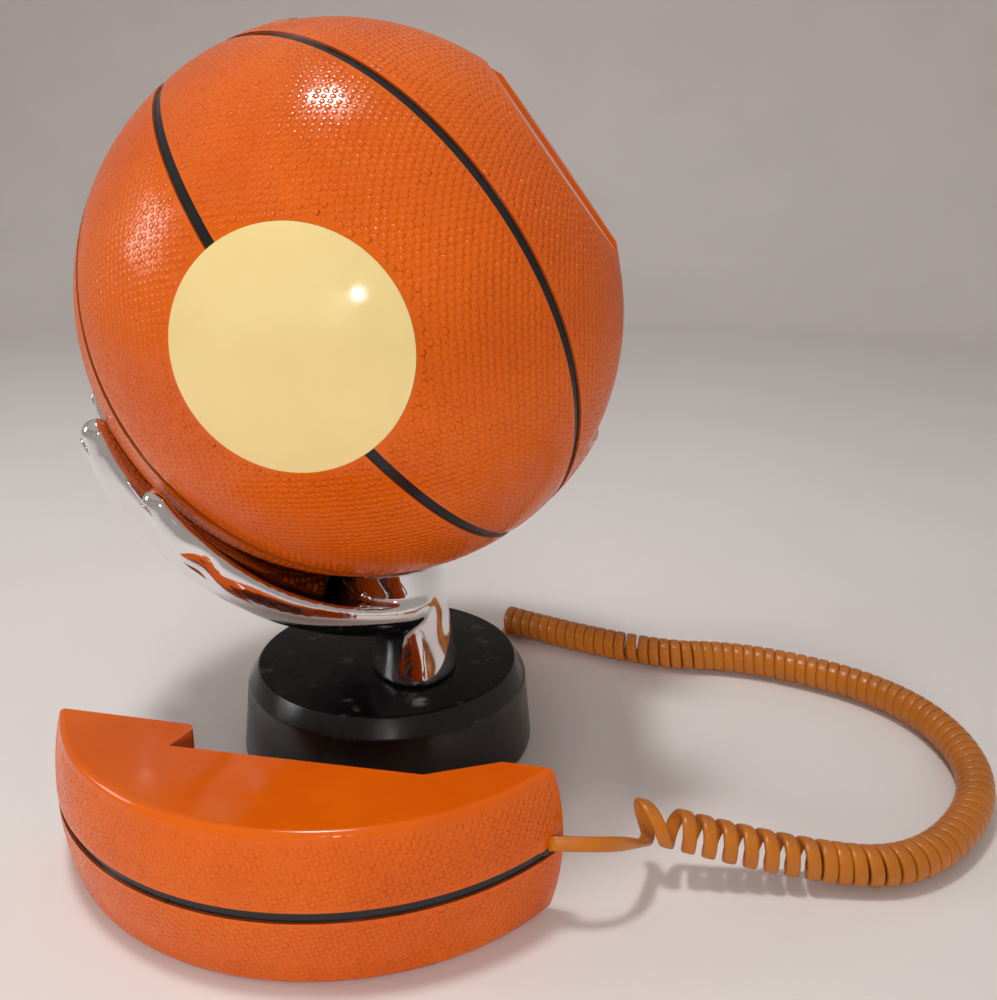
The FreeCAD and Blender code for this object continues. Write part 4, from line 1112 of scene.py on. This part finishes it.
def sideCutter(s, opening):
    angle, height, width, tall = opening
    out = roundWay(angle)
    middle = out * (s["cutFrom"] + s["cutTo"]) / 2 * mm + Vector((0, 0, height * mm))
    halves = ((s["cutTo"] - s["cutFrom"]) / 2 * mm, width / 2 * mm, tall / 2 * mm)
    return blockMesh("opening", middle, (out, Vector((-out.y, out.x, 0)), Vector((0, 0, 1))), halves)


def makeBase(s):
    lean = (s["radius"] - s["shoulderRadius"]) / (s["shoulderHeight"] - s["lift"])
    ceiling = s["height"] - s["topWall"]
    inside = s["radius"] - s["wall"]
    outer = [
        (inside, s["lift"]), (s["radius"], s["lift"]), (s["shoulderRadius"], s["shoulderHeight"]),
        (s["topRadius"], s["height"]), (0, s["height"]),
    ]
    rows = rounded(outer, s["rounding"], s["roundSteps"])
    rows += [(0, ceiling), (inside - lean * (ceiling - s["lift"]), ceiling)]
    angle, height, radius = s["gland"]
    start = roundWay(angle) * s["cutFrom"] * mm + Vector((0, 0, height * mm))
    stop = start + roundWay(angle) * (s["cutTo"] - s["cutFrom"]) * mm
    x, y, boltRadius = s["bolt"]
    mesh = cutAway(lathed("baseBlank", rows, s["sides"]), [
        sideCutter(s, s["jack"]), sideCutter(s, s["switch"]), rodMesh("glandHole", start, stop, radius * mm),
        rodMesh(
            "boltHole", (x * mm, y * mm, (ceiling - 1) * mm), (x * mm, y * mm, (s["height"] + 1) * mm),
            boltRadius * mm,
        ),
    ])
    finishPiece("turnedBase", mesh, baseBlack, "stand", "base_housing")


print("stage: base")
makeBase(baseSettings)

print("stage: hand")
makeHand(handSettings)

print("stage: screws, key signs and cord collar")

# The grip's middle from the ball surface's, outwards and away from the ear, and its slope
gripSettings = {"out": 0.0569, "back": 0.00473, "slope": (0.0253, 0.9997)}


# The grip face's own frame: across the keys, along them to the ear, and out of the face
def gripFrame(s):
    out, ear = handsetPlace["out"], handsetPlace["ear"]
    rise, run = s["slope"]
    return {
        "origin": handsetPlace["centre"] + out * s["out"] - ear * s["back"],
        "across": Vector((0, 0, -1)),
        "along": out * rise + ear * run,
        "face": ear * rise - out * run,
    }


gripPlace = gripFrame(gripSettings)


def gripPoint(x, y, z):
    p = gripPlace
    return p["origin"] + (p["across"] * x + p["along"] * y + p["face"] * z) * mm


def screwTree():
    tree, start = startTree("screwRow", {"Shape": "Object"})
    shape = addNode(tree, "GeometryNodeObjectInfo", None, Object=start.outputs["Shape"])
    endTree(tree, start, shape.outputs["Geometry"], None)
    return tree


screwRow = screwTree()


def crossScrew(s, sizes):
    # one screw under the origin, head up, with a cross in a low dome
    head, tall, thread, length = sizes
    rows = [(head * out, -tall * down) for out, down in s["dome"]]
    rows += [
        (thread, -tall), (thread, -tall - length + thread), (thread * s["tip"], -tall - length),
        (0, -tall - length),
    ]
    ways = (Vector((1, 0, 0)), Vector((0, 1, 0)), Vector((0, 0, 1)))
    halves = (head * s["recessLong"] * mm, head * s["recessWide"] * mm, tall * s["recessDeep"] * mm)
    crossed = (ways[1], -ways[0], ways[2])
    return cutAway(lathed("screw", rows, s["sides"]), [
        blockMesh("recess", (0, 0, 0), ways, halves), blockMesh("recess", (0, 0, 0), crossed, halves),
    ])


def makeScrews(name, node, body, sizes, places, facing):
    shape = linkPiece("screwShape", crossScrew(screwSettings, sizes))
    made = runTree(name, pointMesh(name, places, [facing] * len(places)), screwRow, {
        "Shape": shape, "Finish": screwSteel,
    })
    discard(shape)
    finishPiece(name, made, screwSteel, body, node)


def allScrews(s):
    ball = []
    for angle in s["ballAngles"]:
        a = math.radians(angle)
        reach = (ballPlace["slot"] * math.cos(a) + ballPlace["pole"] * math.sin(a)) * s["ballCircle"]
        ball.append(ballPlace["centre"] + (reach - ballPlace["badge"] * s["ballHeadTop"]) * mm)
    makeScrews("ballScrews", "ball_screws", "stand", s["ball"], ball, -ballPlace["badge"])
    base = [(roundWay(a) * s["baseCircle"] + Vector((0, 0, s["baseHeadTop"]))) * mm for a in s["baseAngles"]]
    makeScrews("baseScrews", "base_screws", "stand", s["base"], base, Vector((0, 0, -1)))
    palm = [Vector(p) * mm for p in s["palmHeads"]]
    makeScrews("palmScrews", "palm_screws", "stand", s["palm"], palm, Vector((0, 0, -1)))
    corners = [(x, y) for x in (-1, 1) for y in (-1, 1)]
    handset = [gripPoint(x * s["handsetAcross"], y * s["handsetAlong"], 0) for x, y in corners]
    makeScrews("handsetScrews", "handset_screws", "handset", s["handset"], handset, gripPlace["face"])


allScrews(screwSettings)

signSettings = {
    "signs": "123456789*0#",
    "bodies": ("1", "2", "3", "4", "5", "6", "7", "8", "9", "star", "0", "hash"),
    "pitchAcross": 13.0,
    "pitchAlong": 12.0,
    "keyTop": 1.8,
    "size": 0.0056,
    "lift": 0.00006,
    "sink": 0.00003,
    "curveSteps": 6,
}
signWhite = simpleFinish("signWhite", ((0.82, 0.82, 0.80), (0.76, 0.76, 0.74)), 0.45, 0.0, 200.0)


def makeSigns(s):
    turn = Matrix((gripPlace["across"], gripPlace["along"], gripPlace["face"])).transposed().to_4x4()
    for i, (sign, body) in enumerate(zip(s["signs"], s["bodies"])):
        data = bpy.data.curves.new("sign", "FONT")
        data.body = sign
        data.size = s["size"]
        data.align_x = "CENTER"
        data.align_y = "CENTER"
        data.extrude = s["lift"]
        data.resolution_u = s["curveSteps"]
        letter = linkPiece("sign", data)
        mesh = evaluated(letter)
        discard(letter)
        flat = vertexPlaces(mesh)[:, :2]
        middle = (flat.min(0) + flat.max(0)) / 2
        x = (i % 3 - 1) * s["pitchAcross"]
        y = (1.5 - i // 3) * s["pitchAlong"]
        place = Matrix.Translation(gripPoint(x, y, s["keyTop"])) @ turn
        mesh.transform(place @ Matrix.Translation((-middle[0], -middle[1], s["sink"])))
        outward(mesh)
        finishPiece("sign_" + body, mesh, signWhite, "key_" + body, None)


makeSigns(signSettings)

collarSettings = {
    "exit": (45.68, -115.17, 27.75),
    "way": (0.9894, -0.1437, 0.0),
    "radius": 3.55,
    "edge": 0.25,
    "sink": 4.0,
    "proud": 0.2,
    "sides": 64,
    "rings": 6,
}


def makeCollar(s):
    # a plug round the cord, its end cut flush with the handset's ball surface
    way = Vector(s["way"]).normalized()
    side = Vector((0, 0, 1))
    third = way.cross(side)
    centre = handsetPlace["centre"]
    reach = ballPlace["radius"] + s["proud"] * mm
    rows = [(s["radius"], None), (s["radius"], s["edge"])]
    rows += [((s["radius"] - s["edge"]) * (1 - i / s["rings"]), 0.0) for i in range(s["rings"])]
    points = []
    for radius, back in rows:
        for a in 2 * math.pi * np.arange(s["sides"]) / s["sides"]:
            foot = (Vector(s["exit"]) + (side * math.cos(a) + third * math.sin(a)) * radius) * mm
            if back is None:
                points.append(foot - way * s["sink"] * mm)
                continue
            away = foot - centre
            along = away.dot(way)
            run = -along + math.sqrt(along**2 - away.length_squared + reach**2)
            points.append(foot + way * (run - back * mm))
    mesh = meshFrom("cordCollar", points, tubeFaces(len(rows), s["sides"]))
    outward(mesh)
    finishPiece("cordCollar", mesh, handsetOrange, "handset", "handset_cord_grommet")


makeCollar(collarSettings)
